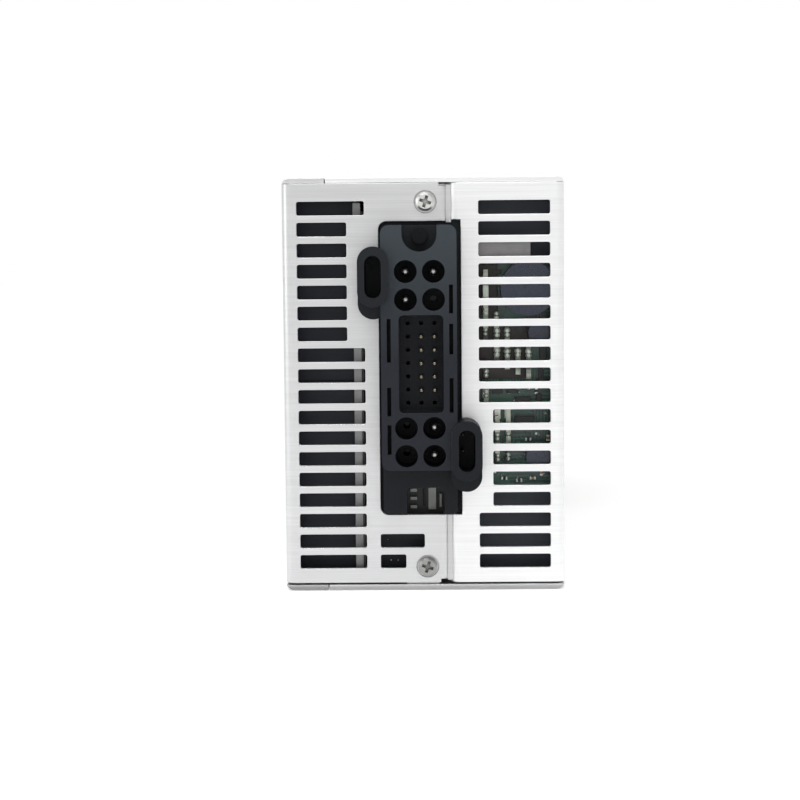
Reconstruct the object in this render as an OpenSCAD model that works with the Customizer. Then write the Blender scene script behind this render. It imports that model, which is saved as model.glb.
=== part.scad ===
// Plug-in servo drive module with a blind-mate drawer connector on its rear face.
// +Z is up, the rear (connector) face looks along -Y, the operator front along +Y.
// Depths inside each module are counted from the rear panel's outer face, towards the front.

/* [Case] */
// Width of the case over its side walls
case_w = 81; // [80:0.5:84]
// Height of the case over its top and bottom walls
case_h = 119; // [118.5:0.5:122]
// Depth of the sheet-metal case, from the rear panel to the front bezel
case_d = 185; // [180:1:210]
// Thickness of the sheet metal
sheet_t = 1.5; // [1:0.1:1.6]
// Outside radius of the sheet-metal bends
bend_r = 2.5; // [2:0.1:3]
// Distance of the seam between the two shells from the case's centre plane
seam_x = 7.25; // [6.5:0.25:8]
// Width of the chassis's top and bottom flanges
flange_w = 12.3; // [10:0.1:14]

/* [Vent slots] */
// Number of slot rows
slot_rows = 18; // [10:1:18]
// Distance between slot rows
slot_pitch = 6; // [5.5:0.1:6]
// Height of a slot
slot_h = 4; // [3:0.1:4.4]
// Corner radius of a slot
slot_r = 0.6; // [0.3:0.1:1.2]
// Height of the top row's centre above the base
slot_top_z = 110.3; // [109:0.1:111]

/* [Drawer connector] */
// Sideways place of the connector's centre
conn_x = -1.1; // [-1.5:0.1:-0.5]
// Height of the connector's centre
conn_z = 66.1; // [65.5:0.1:66.5]
// How far the connector's face stands out of the rear panel
conn_out = 11; // [9:0.5:13]
// How far the guide sockets stand out of the rear panel
ear_out = 13; // [11:0.5:15]
// Distance between neighbouring power contacts
power_pitch = 7.9; // [7.6:0.1:8.2]
// Distance between neighbouring signal contacts
signal_pitch = 3.81; // [3.7:0.01:3.9]
// Diameter of a power contact pin
power_pin_d = 2.4; // [2.2:0.1:2.6]
// Diameter of a power contact's cavity
power_cavity_d = 6.4; // [6.2:0.1:6.8]

/* [Fan] */
// Width and height of the fan's frame
fan_size = 60; // [56:1:60]
// Depth of the fan's frame
fan_d = 20; // [18:1:20]
// Number of fan blades
fan_blades = 7; // [5:1:9]
// Spacing of the fan's fixing holes
fan_hole_pitch = 50; // [48:0.5:50]

/* [Operator front] */
// Depth of the front bezel
bezel_d = 12; // [12:0.5:14]
// Thickness of the bezel's walls
bezel_t = 2.5; // [2:0.1:2.5]
// Width of the extraction lever
lever_w = 12; // [10:0.5:12]
// Length of the extraction lever above its pivot
lever_len = 54; // [45:1:56]
// Diameter of the lever's pivot pin
lever_pin_d = 3; // [2.5:0.1:3.2]
// Diameter of a key
key_d = 8; // [6:0.2:8.4]
// Distance between the keys
key_pitch = 11.5; // [11:0.1:11.6]

/* [Hidden] */
$fn = 48;

// Front-most piece: the lever's grip
lever_out = 3.2;
grip_y = 1.9;
grip_r = 3;
front_out = lever_out + grip_y + grip_r;
// Place of the rear panel, so that the whole module is centred on the origin
rear_y = -(case_d + bezel_d + front_out - ear_out) / 2;
half_w = case_w / 2;
wall_x = half_w - sheet_t;
ceiling_z = case_h - sheet_t;
front_y = case_d + bezel_d;
fit_gap = 0.2;
label_t = 0.15;

// Rear panels
panel_lo = sheet_t + 0.6;
panel_hi = ceiling_z - 0.1;
seam_gap = 0.4;
return_depth = 7;
left_slot_x = -half_w + 4.25;
left_long = 19.4;
left_short = 14.3;
right_slot_x = half_w - 4.1;
right_long = 20.6;
right_short = 16.6;
left_short_rows = [2 : 7];
right_short_rows = [11 : 15];
extra_slot_x = -12.9;
extra_slot_lens = [[17, 12.8], [18, 7.4]];
cut_left = -12.8;
cut_right = 10.8;
cut_lo = 21.9;
cut_hi = 106.5;
cut_r = 2.3;

// Case fasteners
rear_screw_x = 0.7;
rear_screw_z = [6.8, 112];
m3_d = 3;
m3_hole_d = 3.4;
m3_head_d = 5.4;
dimple_d = 6.4;
dimple_depth = 0.5;
side_screw_y = [20, 95, 160];
side_screw_z = [14, 102];

// Connector
conn_back = 9;
body_l = conn_x - 11;
body_r = conn_x + 10.5;
body_lo = conn_z - 30.2;
body_hi = 105.2;
skirt_out = 4;
skirt_lo = cut_lo + 0.5;
body_r_corner = 2.4;
ear_w = 8.7;
ear_h = 17.1;
ear_dx = 13.1;
ear_dz = 24.6;
ear_wall = 2;
ear_foot = 3.4;
power_dz = 22.1;
signal_dx = 0.35;
power_pins_xz = [[-1, 1, 1], [1, 1, 1], [-1, -1, 1], [1, 1, -1], [1, -1, -1]];
pin_tip_depth = 3;
pin_tail_d = 2;
signal_pin_d = 1.2;
power_floor_y = -1;
signal_rows = [-3 : 3];
signal_cols = [-1 : 1];

// Boards
pcb_t = 1.6;
conn_board_y = conn_back;
plate_x = -19.9;
plate_t = 2.4;
plate_face_x = plate_x + plate_t;
power_board_x = -7;
power_face_x = power_board_x + pcb_t;
control_board_x = 33;
control_face_x = control_board_x + pcb_t;
spacer_d = 6;
spacer_yz = [[34, 12], [34, 106], [152, 12], [152, 106]];

// Front
bezel_back_y = case_d;
bezel_face_y = front_y - bezel_t;
fan_x = -7.2;
fan_z = 37;
fan_bore_d = fan_size - 4;
rotor_d = fan_bore_d - 3;
hub_d = 27;
fan_face_y = bezel_face_y;
operator_y = bezel_back_y + 1;
operator_face_y = operator_y + pcb_t;
window_w = 44;
window_h = 17;
window_x = -14;
window_z = 101;
keys_x = -32;
keys_z = 79.5;
key_head_out = 1.3;
key_switch_h = 3.6;
key_travel = 0.8;
led_x = 13;
led_z = [95, 101, 107];
port_x = 27.5;
port_z = 99;
port_w = 16.2;
port_h = 13.6;
dial_x = [19.5, 31.5];
dial_z = 79.5;
dial_d = 8;
lever_x = 31;
lever_z = 9;
lever_y = front_y + lever_out;
lever_t = 5;
pocket_depth = 7.5;
pocket_h = 16;
lug_t = 1.9;

// ---------------------------------------------------------------- helpers

module at_rear() {
  translate([0, rear_y, 0]) children();
}

// Rectangle with round corners, its lower-left corner at the origin
module round_rect(w, h, r) {
  translate([r, 0]) square([w - 2 * r, h]);
  translate([0, r]) square([w, h - 2 * r]);
  for (x = [r, w - r], z = [r, h - r]) translate([x, z]) circle(r);
}

// Rectangle with round corners between two corners
module round_span(x0, x1, z0, z1, r) {
  translate([x0, z0]) round_rect(x1 - x0, z1 - z0, r);
}

// Prism of an X-Z outline between two depths
module along_y(y0, y1) {
  translate([0, y1, 0]) rotate([90, 0, 0]) linear_extrude(y1 - y0) children();
}

// Round bar along Y between two depths
module rod_y(x, z, d, y0, y1) {
  translate([x, y1, z]) rotate([90, 0, 0]) cylinder(h = y1 - y0, d = d);
}

// Round bar along X between two sides
module rod_x(y, z, d, x0, x1) {
  translate([x0, y, z]) rotate([0, 90, 0]) cylinder(h = x1 - x0, d = d);
}

// Box between two corners
module span(lo, hi) {
  translate(lo) cube(hi - lo);
}

// Sheet folded around the case's outline, seen along Y
module wrap_profile() {
  difference() {
    round_span(-half_w, half_w, 0, case_h, bend_r);
    round_span(-wall_x, wall_x, sheet_t, ceiling_z, bend_r - sheet_t);
  }
}

// Sheet folded around a vertical corner: outline seen from above, between x0 and x1
module panel_profile(x0, x1, depth) {
  deep = 4 * depth;
  intersection() {
    difference() {
      round_span(x0, x1, 0, deep, bend_r);
      round_span(x0 + sheet_t, x1 - sheet_t, sheet_t, deep - sheet_t, bend_r - sheet_t);
    }
    translate([x0, 0]) square([x1 - x0, depth]);
  }
}

function row_z(row) = slot_top_z - slot_pitch * (row - 1);
function in_rows(row, rows) = len([for (r = rows) if (r == row) r]) > 0;

module vent(x0, x1, row) {
  z = row_z(row);
  along_y(-1, sheet_t + 1) round_span(x0, x1, z - slot_h / 2, z + slot_h / 2, slot_r);
}

// ---------------------------------------------------------------- sheet-metal case

module left_vents() {
  for (row = [1 : slot_rows]) {
    length = in_rows(row, left_short_rows) ? left_short : left_long;
    vent(left_slot_x, left_slot_x + length, row);
  }
  for (extra = extra_slot_lens) vent(extra_slot_x, extra_slot_x + extra[1], extra[0]);
}

module right_vents() {
  for (row = [1 : slot_rows]) {
    length = in_rows(row, right_short_rows) ? right_short : right_long;
    vent(right_slot_x - length, right_slot_x, row);
  }
}

module rear_screw_places() {
  for (z = rear_screw_z) translate([rear_screw_x, 0, z]) children();
}

module side_screw_places() {
  for (y = side_screw_y, z = side_screw_z) translate([0, y, z]) children();
}

// Countersunk hole through a side wall, side = -1 for the left and 1 for the right
module side_hole(side) {
  mirror([side < 0 ? 1 : 0, 0, 0]) {
    translate([wall_x - 1, 0, 0]) rotate([0, 90, 0]) cylinder(h = sheet_t + 2, d = m3_hole_d);
    translate([half_w - 1.3, 0, 0]) rotate([0, 90, 0]) cylinder(h = 1.4, d1 = m3_hole_d, d2 = 6.2);
  }
}

module chassis() {
  color("silver") at_rear() difference() {
    union() {
      along_y(return_depth, case_d) intersection() {
        wrap_profile();
        translate([-half_w, 0]) square([flange_w, case_h]);
      }
      along_y(0, return_depth + 1) intersection() {
        wrap_profile();
        translate([-half_w, 0]) square([flange_w, case_h]);
        union() {
          translate([-half_w, -1]) square([flange_w, sheet_t + 1]);
          translate([-half_w, ceiling_z]) square([flange_w, sheet_t + 1]);
        }
      }
      translate([0, 0, panel_lo]) linear_extrude(panel_hi - panel_lo)
        panel_profile(-half_w, seam_x - seam_gap / 2, return_depth + 1);
    }
    left_vents();
    // Notch for the connector, open towards the seam
    along_y(-1, sheet_t + 1) round_span(cut_left, cut_right, cut_lo, cut_hi, cut_r);
    span([seam_x - seam_gap / 2 - bend_r, -1, cut_lo], [seam_x + 1, return_depth + 2, cut_hi]);
    // Relief above and below the return bend
    span([seam_x - seam_gap / 2 - bend_r, -1, panel_hi - 1], [seam_x + 1, return_depth + 2, case_h]);
    span([seam_x - seam_gap / 2 - bend_r, -1, 0], [seam_x + 1, return_depth + 2, panel_lo + 1]);
    rear_screw_places() {
      rod_y(0, 0, m3_hole_d, -1, sheet_t + 1);
      rod_y(0, 0, dimple_d, -1, dimple_depth);
    }
    side_screw_places() side_hole(-1);
  }
}

module cover() {
  seam_wall_x = -half_w + flange_w + 0.3;
  color("gainsboro") at_rear() difference() {
    union() {
      along_y(return_depth, case_d) intersection() {
        wrap_profile();
        translate([seam_wall_x, 0]) square([half_w - seam_wall_x, case_h]);
      }
      along_y(0, return_depth + 1) intersection() {
        wrap_profile();
        translate([seam_wall_x, 0]) square([half_w - seam_wall_x, case_h]);
        union() {
          translate([seam_wall_x, -1]) square([case_w, sheet_t + 1]);
          translate([seam_wall_x, ceiling_z]) square([case_w, sheet_t + 1]);
        }
      }
      translate([0, 0, panel_lo]) linear_extrude(panel_hi - panel_lo)
        panel_profile(seam_x + seam_gap / 2, half_w, return_depth + 1);
      // Tabs behind the left panel, which take the rear screws
      for (side = [0, 1]) {
        z = rear_screw_z[side];
        span([rear_screw_x - 6, sheet_t, side == 0 ? sheet_t / 2 : z - 4],
             [rear_screw_x + 3.3, 2 * sheet_t, side == 0 ? z + 4 : ceiling_z + sheet_t / 2]);
      }
    }
    right_vents();
    span([seam_x, -1, cut_lo], [cut_right, return_depth + 2, cut_hi + 0.4]);
    rear_screw_places() rod_y(0, 0, 4.2, sheet_t - 0.5, 2 * sheet_t + 1);
    side_screw_places() side_hole(1);
  }
}

// Cross recess of a Phillips head, cut from the face at y = 0 inwards
module phillips_cut(size, depth) {
  rotate([0, 17, 0]) for (turn = [0, 90]) rotate([0, turn, 0])
    span([-size / 2, -1, -0.45], [size / 2, depth, 0.45]);
  rod_y(0, 0, size * 0.45, -1, depth);
}

module case_screws() {
  head_y = dimple_depth - 2;
  color("lightgray") at_rear() rear_screw_places() difference() {
    union() {
      rod_y(0, 0, m3_head_d, head_y + 0.6, dimple_depth);
      translate([0, head_y + 0.6, 0]) rotate([90, 0, 0]) cylinder(h = 0.6, d1 = m3_head_d, d2 = 4.2);
      rod_y(0, 0, m3_d - 0.1, 0, 8);
    }
    translate([0, head_y, 0]) phillips_cut(3.4, 1.1);
  }
}

module clinch_nuts() {
  color("silver") at_rear() rear_screw_places() difference() {
    union() {
      rod_y(0, 0, 4.2, sheet_t, 2 * sheet_t);
      rod_y(0, 0, 6.2, 2 * sheet_t, 2 * sheet_t + 2.6);
    }
    rod_y(0, 0, m3_d, 0, 10);
  }
}

module side_screws() {
  color("silver") at_rear() for (side = [0, 1]) mirror([1 - side, 0, 0]) side_screw_places()
    translate([half_w - 1.45, 0, 0]) rotate([0, 90, 0]) difference() {
      union() {
        cylinder(h = 1.4, d1 = m3_d - 0.1, d2 = 5.9);
        translate([0, 0, -3]) cylinder(h = 3.2, d = m3_d - 0.1);
      }
      for (turn = [0, 90]) rotate([0, 0, turn]) translate([-1.4, -0.35, 0.5]) cube([2.8, 0.7, 2]);
    }
}

// ---------------------------------------------------------------- drawer connector

module at_conn() {
  at_rear() translate([conn_x, 0, conn_z]) children();
}

// Place of each power contact cavity
module power_places() {
  for (group = [-1, 1], x = [-1, 1], z = [-1, 1])
    translate([x * power_pitch / 2, 0, group * power_dz + z * power_pitch / 2]) children();
}

// Obround outline standing upright, centred on the origin
module obround(w, h) {
  translate([-w / 2, -(h - w) / 2]) square([w, h - w]);
  for (z = [-1, 1]) translate([0, z * (h - w) / 2]) circle(w / 2);
}

module ear_places() {
  for (side = [-1, 1]) translate([side * ear_dx, 0, -side * ear_dz]) children();
}

module connector_body() {
  // Main block, which stands out through the cutout
  along_y(-conn_out, conn_back) translate([-conn_x, -conn_z])
    round_span(body_l, body_r, body_lo, body_hi, body_r_corner);
  // Lower skirt, set back from the face
  along_y(-skirt_out, conn_back) translate([-conn_x, -conn_z])
    round_span(body_l + 0.3, body_r, skirt_lo, body_lo + 6, body_r_corner - 1);
  // Flange behind the panels, which fills the cutout
  along_y(sheet_t + fit_gap, conn_back) translate([-conn_x, -conn_z])
    round_span(cut_left - 0.8, cut_right + 0.8, cut_lo + 0.1, cut_hi - 0.1, 1);
  // Guide sockets, which pass in front of the rear panels, on a wider and lower foot
  ear_places() {
    along_y(-ear_out, -fit_gap) obround(ear_w, ear_h);
    along_y(-ear_out + 4, -fit_gap) translate([0, -ear_foot / 2]) obround(ear_w, ear_h + ear_foot);
  }
}

module connector_housing() {
  recess_w = 12.6;
  recess_h = 27.6;
  color("#2c3036") at_conn() difference() {
    connector_body();
    // Power cavities
    power_places() rod_y(0, 0, power_cavity_d, -conn_out - 1, power_floor_y);
    power_places() rod_y(0, 0, pin_tail_d, -2, conn_back + 1);
    // Signal recess and its contact holes
    along_y(-conn_out - 1, -conn_out + 7) translate([signal_dx - recess_w / 2, -recess_h / 2])
      round_rect(recess_w, recess_h, 1.4);
    for (col = signal_cols, row = signal_rows)
      rod_y(signal_dx + col * signal_pitch, row * signal_pitch, signal_pin_d, -conn_out, conn_back + 1);
    // Fixing recess open at the top, and the notch open at the bottom
    along_y(-conn_out - 1, -conn_out + 8) translate([0, body_hi - conn_z]) {
      translate([0, -2.6]) circle(4.9);
      translate([-4.9, -2.6]) square([9.8, 4]);
    }
    along_y(-skirt_out - 8, conn_back + 1) translate([0, skirt_lo - conn_z])
      round_span(-4, 6.8, -2, 7.8, 1.5);
    rod_y(0, body_hi - conn_z - 3, 2.5, -conn_out, conn_back + 1);
    rod_y(-7, skirt_lo - conn_z + 4, 2.5, 0, conn_back + 1);
    // Narrow slots in the side rails
    for (z = [[0.5, 12.8], [-14.7, -6.6], [-25.6, -17.2]])
      span([-9.3, -conn_out - 1, z[0]], [-8.2, -conn_out + 5, z[1]]);
    for (z = [[14.2, 22.3], [2.7, 11.3], [-13.8, -4]])
      span([8.3, -conn_out - 1, z[0]], [9.4, -conn_out + 5, z[1]]);
    // Guide socket cavities
    ear_places() along_y(-ear_out - 1, -1.5) obround(ear_w - 2 * ear_wall, ear_h - 2.6 * ear_wall);
    translate([ear_dx, 0, -ear_dz]) for (z = [-1, 1]) rod_y(-1.1, 2 + z * 2.4, 1, -2, 0);
  }
}

module power_pins() {
  tip = conn_out - pin_tip_depth;
  color("#d8d8d4") at_conn() for (p = power_pins_xz)
    translate([p[0] * power_pitch / 2, 0, p[2] * power_dz + p[1] * power_pitch / 2]) {
      rod_y(0, 0, power_pin_d, -tip + power_pin_d / 2, power_floor_y);
      rod_y(0, 0, pin_tail_d, power_floor_y - 1, conn_back + pcb_t + 2.4);
      translate([0, -tip + power_pin_d / 2, 0]) sphere(d = power_pin_d);
    }
}

module signal_pins() {
  tip = conn_out - 2.2;
  color("#c9b26a") at_conn() for (col = [0, 1], row = [-2 : 2])
    translate([signal_dx + col * signal_pitch, 0, row * signal_pitch]) {
      rod_y(0, 0, signal_pin_d, -tip + signal_pin_d / 2, conn_back + pcb_t + 1.6);
      translate([0, -tip + signal_pin_d / 2, 0]) sphere(d = signal_pin_d);
    }
}

module guide_contacts() {
  pin_d = 1;
  color("#b9bcc2") at_conn() translate([ear_dx, 0, -ear_dz]) for (z = [-1, 1])
    translate([-1.1, 0, 2 + z * 2.4]) {
      rod_y(0, 0, pin_d, -7.5, -0.4);
      translate([0, -7.5, 0]) sphere(d = pin_d);
    }
}

module connector_screws() {
  color("silver") at_conn() {
    translate([0, 0, body_hi - conn_z - 3]) {
      rod_y(0, 0, 2.5, -conn_out + 7, conn_back + pcb_t + 2);
      rod_y(0, 0, 4.6, -conn_out + 6.2, -conn_out + 8);
    }
    translate([-7, 0, skirt_lo - conn_z + 4]) {
      rod_y(0, 0, 2.5, 1, conn_back + pcb_t + 2);
      rod_y(0, 0, 4.6, conn_back + pcb_t, conn_back + pcb_t + 2);
    }
  }
}

// ---------------------------------------------------------------- connector board

module board_outline() {
  polygon([[-15.5, 5], [3, 5], [3, 21], [12, 21], [12, 29], [37.4, 29],
           [37.4, 94.6], [12, 94.6], [12, 107], [-15.5, 107]]);
}

module connector_board() {
  color("#2f6b4a") at_rear() difference() {
    along_y(conn_board_y, conn_board_y + pcb_t) board_outline();
    translate([conn_x, 0, conn_z]) {
      for (p = power_pins_xz)
        translate([p[0] * power_pitch / 2, 0, p[2] * power_dz + p[1] * power_pitch / 2])
          rod_y(0, 0, pin_tail_d, 0, 20);
      for (col = [0, 1], row = [-2 : 2])
        rod_y(signal_dx + col * signal_pitch, row * signal_pitch, signal_pin_d, 0, 20);
      rod_y(0, body_hi - conn_z - 3, 2.5, 0, 20);
      rod_y(-7, skirt_lo - conn_z + 4, 2.5, 0, 20);
    }
  }
}

// Small chips and passives on the side of the board that faces the rear panel
module board_chips() {
  chips = [[18, 33, 2.4, 1.4], [21, 35.6, 1.4, 2.2], [24.2, 37, 2, 1.3], [28, 34.6, 1.2, 1.2],
           [17.6, 43, 2.2, 3.2], [29.4, 47.5, 5.5, 4.2], [17.6, 48.4, 1.6, 2], [28.8, 53.6, 4.6, 3.4],
           [33.6, 55, 1.6, 2.6], [21.4, 57, 3, 1.5], [25.6, 57.6, 3, 2.4], [34.2, 62, 1.5, 3],
           [34.8, 68.2, 2, 4.6], [28.5, 75.4, 3, 3], [20.6, 82, 1.5, 2.8],
           [20.6, 88, 1.6, 2.6], [21.4, 91.8, 2.6, 1.3]];
  color("#33363a") at_rear() for (chip = chips)
    span([chip[0] - chip[2] / 2, conn_board_y - 1.2, chip[1] - chip[3] / 2],
         [chip[0] + chip[2] / 2, conn_board_y, chip[1] + chip[3] / 2]);
}

// Bare leads of a hybrid that stand up from the board behind the right-hand slots
module board_leads() {
  leads = [[18, 71, 92.5], [21.1, 65, 79], [24.2, 63.6, 75.5], [27.3, 62, 71], [30.4, 60.6, 71],
           [18, 52, 60], [24.4, 41, 53.5], [21.2, 39, 50]];
  color("#aab0ad") at_rear() for (lead = leads) {
    rod_y(lead[0], lead[1] + 0.5, 1, conn_board_y - 3.5, conn_board_y);
    rod_y(lead[0], lead[2] - 0.5, 1, conn_board_y - 3.5, conn_board_y);
    span([lead[0] - 0.7, conn_board_y - 4.2, lead[1]], [lead[0] + 0.7, conn_board_y - 3.4, lead[2]]);
  }
}

module board_capacitors() {
  color("#1d2026") at_rear() for (can = [[30.2, 87, 16, 6.8], [33.4, 74.2, 6.4, 5.5], [33.2, 38, 7.5, 6]])
    rod_y(can[0], can[1], can[2], conn_board_y - can[3], conn_board_y);
}

module bus_bar() {
  color("#9a9c9a") at_rear() {
    span([12.6, 4.6, 96], [31, 6.2, 101.4]);
    span([12.6, 4.6, 96], [14.2, 20, 101.4]);
  }
}

module terminal_lugs() {
  color("#b8bdbc") at_conn() {
    for (z = [0.4, 2.9, 5.3]) span([-3.2, conn_back - 2.4, skirt_lo - conn_z + z],
                                   [-1.2, conn_back, skirt_lo - conn_z + z + 1]);
    span([2.1, conn_back - 3, skirt_lo - conn_z + 0.2], [4.4, conn_back, skirt_lo - conn_z + 7.2]);
    span([5.4, conn_back - 2.4, skirt_lo - conn_z + 0.8], [6.1, conn_back, skirt_lo - conn_z + 4.7]);
  }
}

// ---------------------------------------------------------------- power section

module carrier_plate() {
  color("#b4b8ba") at_rear() difference() {
    union() {
      span([plate_x, 5, sheet_t], [plate_face_x, 165, 109.5]);
      span([plate_x - 9, 30, sheet_t], [plate_x + 0.1, 60, sheet_t + 2]);
      span([plate_x - 9, 120, sheet_t], [plate_x + 0.1, 150, sheet_t + 2]);
    }
    for (p = spacer_yz) rod_x(p[0], p[1], m3_hole_d, plate_x - 1, plate_face_x + 1);
  }
}

module heat_sink() {
  fins = 15;
  color("#202226") at_rear() {
    span([-24.4, 40, 10], [plate_x, 148, 106]);
    for (i = [0 : fins]) {
      z = 10 + i * (96 - 1.4) / fins;
      span([-37.6, 40, z], [-24.3, 148, z + 1.4]);
    }
  }
}

module insulation_sheet() {
  thick = 0.5;
  color("#15171a") at_rear() difference() {
    union() {
      span([-wall_x + 0.1, 11, sheet_t + 1.5], [-wall_x + 0.1 + thick, 28, ceiling_z - 1.5]);
      span([-wall_x + 0.1, 28 - thick, sheet_t + 2.4], [plate_x - 0.2, 28, ceiling_z - 1.5]);
    }
    // Holes around the side screws
    for (z = side_screw_z) rod_x(side_screw_y[0], z, 7, -half_w, -wall_x + 1);
  }
}

module power_module() {
  color("#26282c") at_rear() difference() {
    span([plate_face_x, 62, 34], [plate_face_x + 8.6, 118, 84]);
    for (y = [66, 114]) rod_x(y, 59, m3_hole_d, plate_face_x - 1, plate_face_x + 10);
  }
}

module power_board() {
  color("#2f6b4a") at_rear() difference() {
    span([power_board_x, 14.4, 6], [power_face_x, 168, 112]);
    for (p = spacer_yz) rod_x(p[0], p[1], m3_hole_d, power_board_x - 1, power_face_x + 1);
  }
}

cap_d = 25;
cap_yz = [[62, 30], [90, 30], [118, 30], [118, 58]];

module dc_capacitors() {
  color("#1e2a3a") at_rear() for (p = cap_yz) difference() {
    rod_x(p[0], p[1], cap_d, power_face_x, power_face_x + 31);
    for (turn = [0, 90]) translate([power_face_x + 31, p[0], p[1]]) rotate([turn, 0, 0])
      span([-0.5, -8, -0.3], [1, 8, 0.3]);
  }
}

module choke_core() {
  color("#3d4a44") at_rear() translate([power_face_x + 1, 40, 84]) rotate([0, 90, 0])
    difference() {
      cylinder(h = 12, d = 27);
      translate([0, 0, -1]) cylinder(h = 14, d = 15);
    }
}

module choke_winding() {
  turns = 16;
  color("#b5713a") at_rear() translate([power_face_x + 1, 40, 84]) rotate([0, 90, 0])
    for (i = [0 : turns - 1]) rotate([0, 0, i * 360 / turns]) translate([10.5, 0, 0]) difference() {
      translate([-4.4, -0.75, -1]) cube([8.8, 1.5, 14]);
      translate([-3.1, -1, 0]) cube([6.2, 2, 12]);
    }
}

module transformer() {
  color("#6b5a33") at_rear() {
    span([power_face_x, 60, 76], [power_face_x + 4, 90, 104]);
    span([power_face_x + 4, 63, 79], [power_face_x + 20, 87, 101]);
    span([power_face_x + 20, 60, 76], [power_face_x + 24, 90, 104]);
  }
}

module relays() {
  color("#31466b") at_rear() for (z = [76, 92])
    span([power_face_x, 98, z], [power_face_x + 16, 118, z + 12]);
}

module board_link() {
  color("#e6e2d4") at_rear() {
    span([power_face_x, conn_board_y + pcb_t + 2.6, 42], [power_face_x + 8, 24, 84]);
    for (i = [0 : 9]) rod_y(power_face_x + 2.8, 45 + i * 4, 1, conn_board_y + pcb_t, 20);
  }
}

module lower_spacers() {
  color("#1d1e20") at_rear() for (p = spacer_yz) difference() {
    rod_x(p[0], p[1], spacer_d, plate_face_x, power_board_x);
    rod_x(p[0], p[1], m3_d, plate_face_x - 1, power_board_x + 1);
  }
}

module board_spacers() {
  color("#1d1e20") at_rear() for (p = spacer_yz) difference() {
    rod_x(p[0], p[1], spacer_d, power_face_x, control_board_x);
    rod_x(p[0], p[1], m3_d, control_board_x - 8, control_board_x + 1);
  }
}

module board_screws() {
  color("silver") at_rear() for (p = spacer_yz) {
    rod_x(p[0], p[1], m3_d - 0.1, control_board_x - 6, control_face_x + 0.5);
    rod_x(p[0], p[1], m3_head_d, control_face_x, control_face_x + 2);
    rod_x(p[0], p[1], m3_d - 0.1, plate_x - 0.4, power_board_x - 3);
    rod_x(p[0], p[1], m3_head_d, plate_x - 2, plate_x);
  }
}

module control_board() {
  color("#2f6b4a") at_rear() difference() {
    span([control_board_x, 20, 6], [control_face_x, 168, 112]);
    for (p = spacer_yz) rod_x(p[0], p[1], m3_hole_d, control_board_x - 1, control_face_x + 1);
  }
}

module processor() {
  color("#1b1c1f") at_rear() span([control_face_x, 80, 58], [control_face_x + 1.6, 100, 78]);
}

module control_chips() {
  chips = [[60, 40, 12, 18], [118, 66, 14, 8], [118, 84, 8, 8], [60, 90, 10, 6], [90, 34, 8, 12],
           [138, 40, 10, 10], [40, 62, 6, 14]];
  color("#232528") at_rear() for (c = chips)
    span([control_face_x, c[0] - c[2] / 2, c[1] - c[3] / 2],
         [control_face_x + 1.4, c[0] + c[2] / 2, c[1] + c[3] / 2]);
}

// ---------------------------------------------------------------- operator front

module key_place(i) {
  translate([keys_x + i * key_pitch, 0, keys_z]) children();
}

module front_bezel() {
  inner_x = half_w - bezel_t;
  lip = sheet_t + 0.15;
  lip_t = 1.6;
  lever_l = lever_x - lever_w / 2;
  lever_r = lever_x + lever_w / 2;
  color("#3a3d42") at_rear() difference() {
    union() {
      // Cup, open to the back
      difference() {
        along_y(bezel_back_y, front_y) round_span(-half_w, half_w, 0, case_h, bend_r);
        along_y(bezel_back_y - 1, bezel_face_y)
          round_span(-inner_x, inner_x, bezel_t, case_h - bezel_t, 1);
      }
      // Lip that slides into the shells
      difference() {
        along_y(bezel_back_y - 5, bezel_back_y + 1)
          round_span(-half_w + lip, half_w - lip, lip, case_h - lip, 0.8);
        along_y(bezel_back_y - 6, bezel_back_y + 2)
          round_span(-half_w + lip + lip_t, half_w - lip - lip_t, lip + lip_t, case_h - lip - lip_t, 0.4);
      }
      // Walls of the lever's pocket
      span([lever_l - 1.8, front_y - pocket_depth - 1.5, 0.5],
           [lever_r + 1.8, front_y - 1, pocket_h + 1.5]);
      // Pivot lugs
      for (x = [lever_l - 0.2 - lug_t, lever_r + 0.2]) {
        rod_x(lever_y, lever_z, 8.4, x, x + lug_t);
        span([x, front_y - 1, lever_z - 4.2], [x + lug_t, lever_y, lever_z + 4.2]);
      }
    }
    // Lever pocket and pivot bores
    span([lever_l - 0.2, front_y - pocket_depth, -1], [lever_r + 0.2, front_y + 1, pocket_h]);
    rod_x(lever_y, lever_z, lever_pin_d, lever_l - 5, lever_r + 5);
    // Fan opening and its fixing holes
    rod_y(fan_x, fan_z, fan_bore_d, bezel_face_y - 1, front_y + 1);
    for (sx = [-1, 1], sz = [-1, 1])
      rod_y(fan_x + sx * fan_hole_pitch / 2, fan_z + sz * fan_hole_pitch / 2, 4.4, bezel_face_y - 1,
            front_y + 1);
    // Display window with its step
    along_y(front_y - 1.6, front_y + 1) translate([window_x - window_w / 2, window_z - window_h / 2])
      round_rect(window_w, window_h, 1.5);
    span([window_x - window_w / 2 + 2, bezel_face_y - 1, window_z - window_h / 2 + 2],
         [window_x + window_w / 2 - 2, front_y, window_z + window_h / 2 - 2]);
    for (i = [0 : 3]) key_place(i) rod_y(0, 0, key_d + 0.5, bezel_face_y - 1, front_y + 1);
    for (z = led_z) rod_y(led_x, z, 3.2, bezel_face_y - 1, front_y + 1);
    span([port_x - port_w / 2 - 0.1, bezel_face_y - 1, port_z - port_h / 2 - 0.1],
         [port_x + port_w / 2 + 0.1, front_y + 1, port_z + port_h / 2 + 0.1]);
    for (x = dial_x) rod_y(x, dial_z, dial_d + 0.6, bezel_face_y - 1, front_y + 1);
  }
}

module operator_board() {
  color("#2f6b4a") at_rear() difference() {
    along_y(operator_y, operator_face_y) round_span(-35.8, 35.8, 70, 115, 1);
    span([port_x - port_w / 2 - 0.3, operator_y - 1, port_z - port_h / 2 - 0.3],
         [port_x + port_w / 2 + 0.3, operator_face_y + 1, port_z + port_h / 2 + 0.3]);
  }
}

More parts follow.
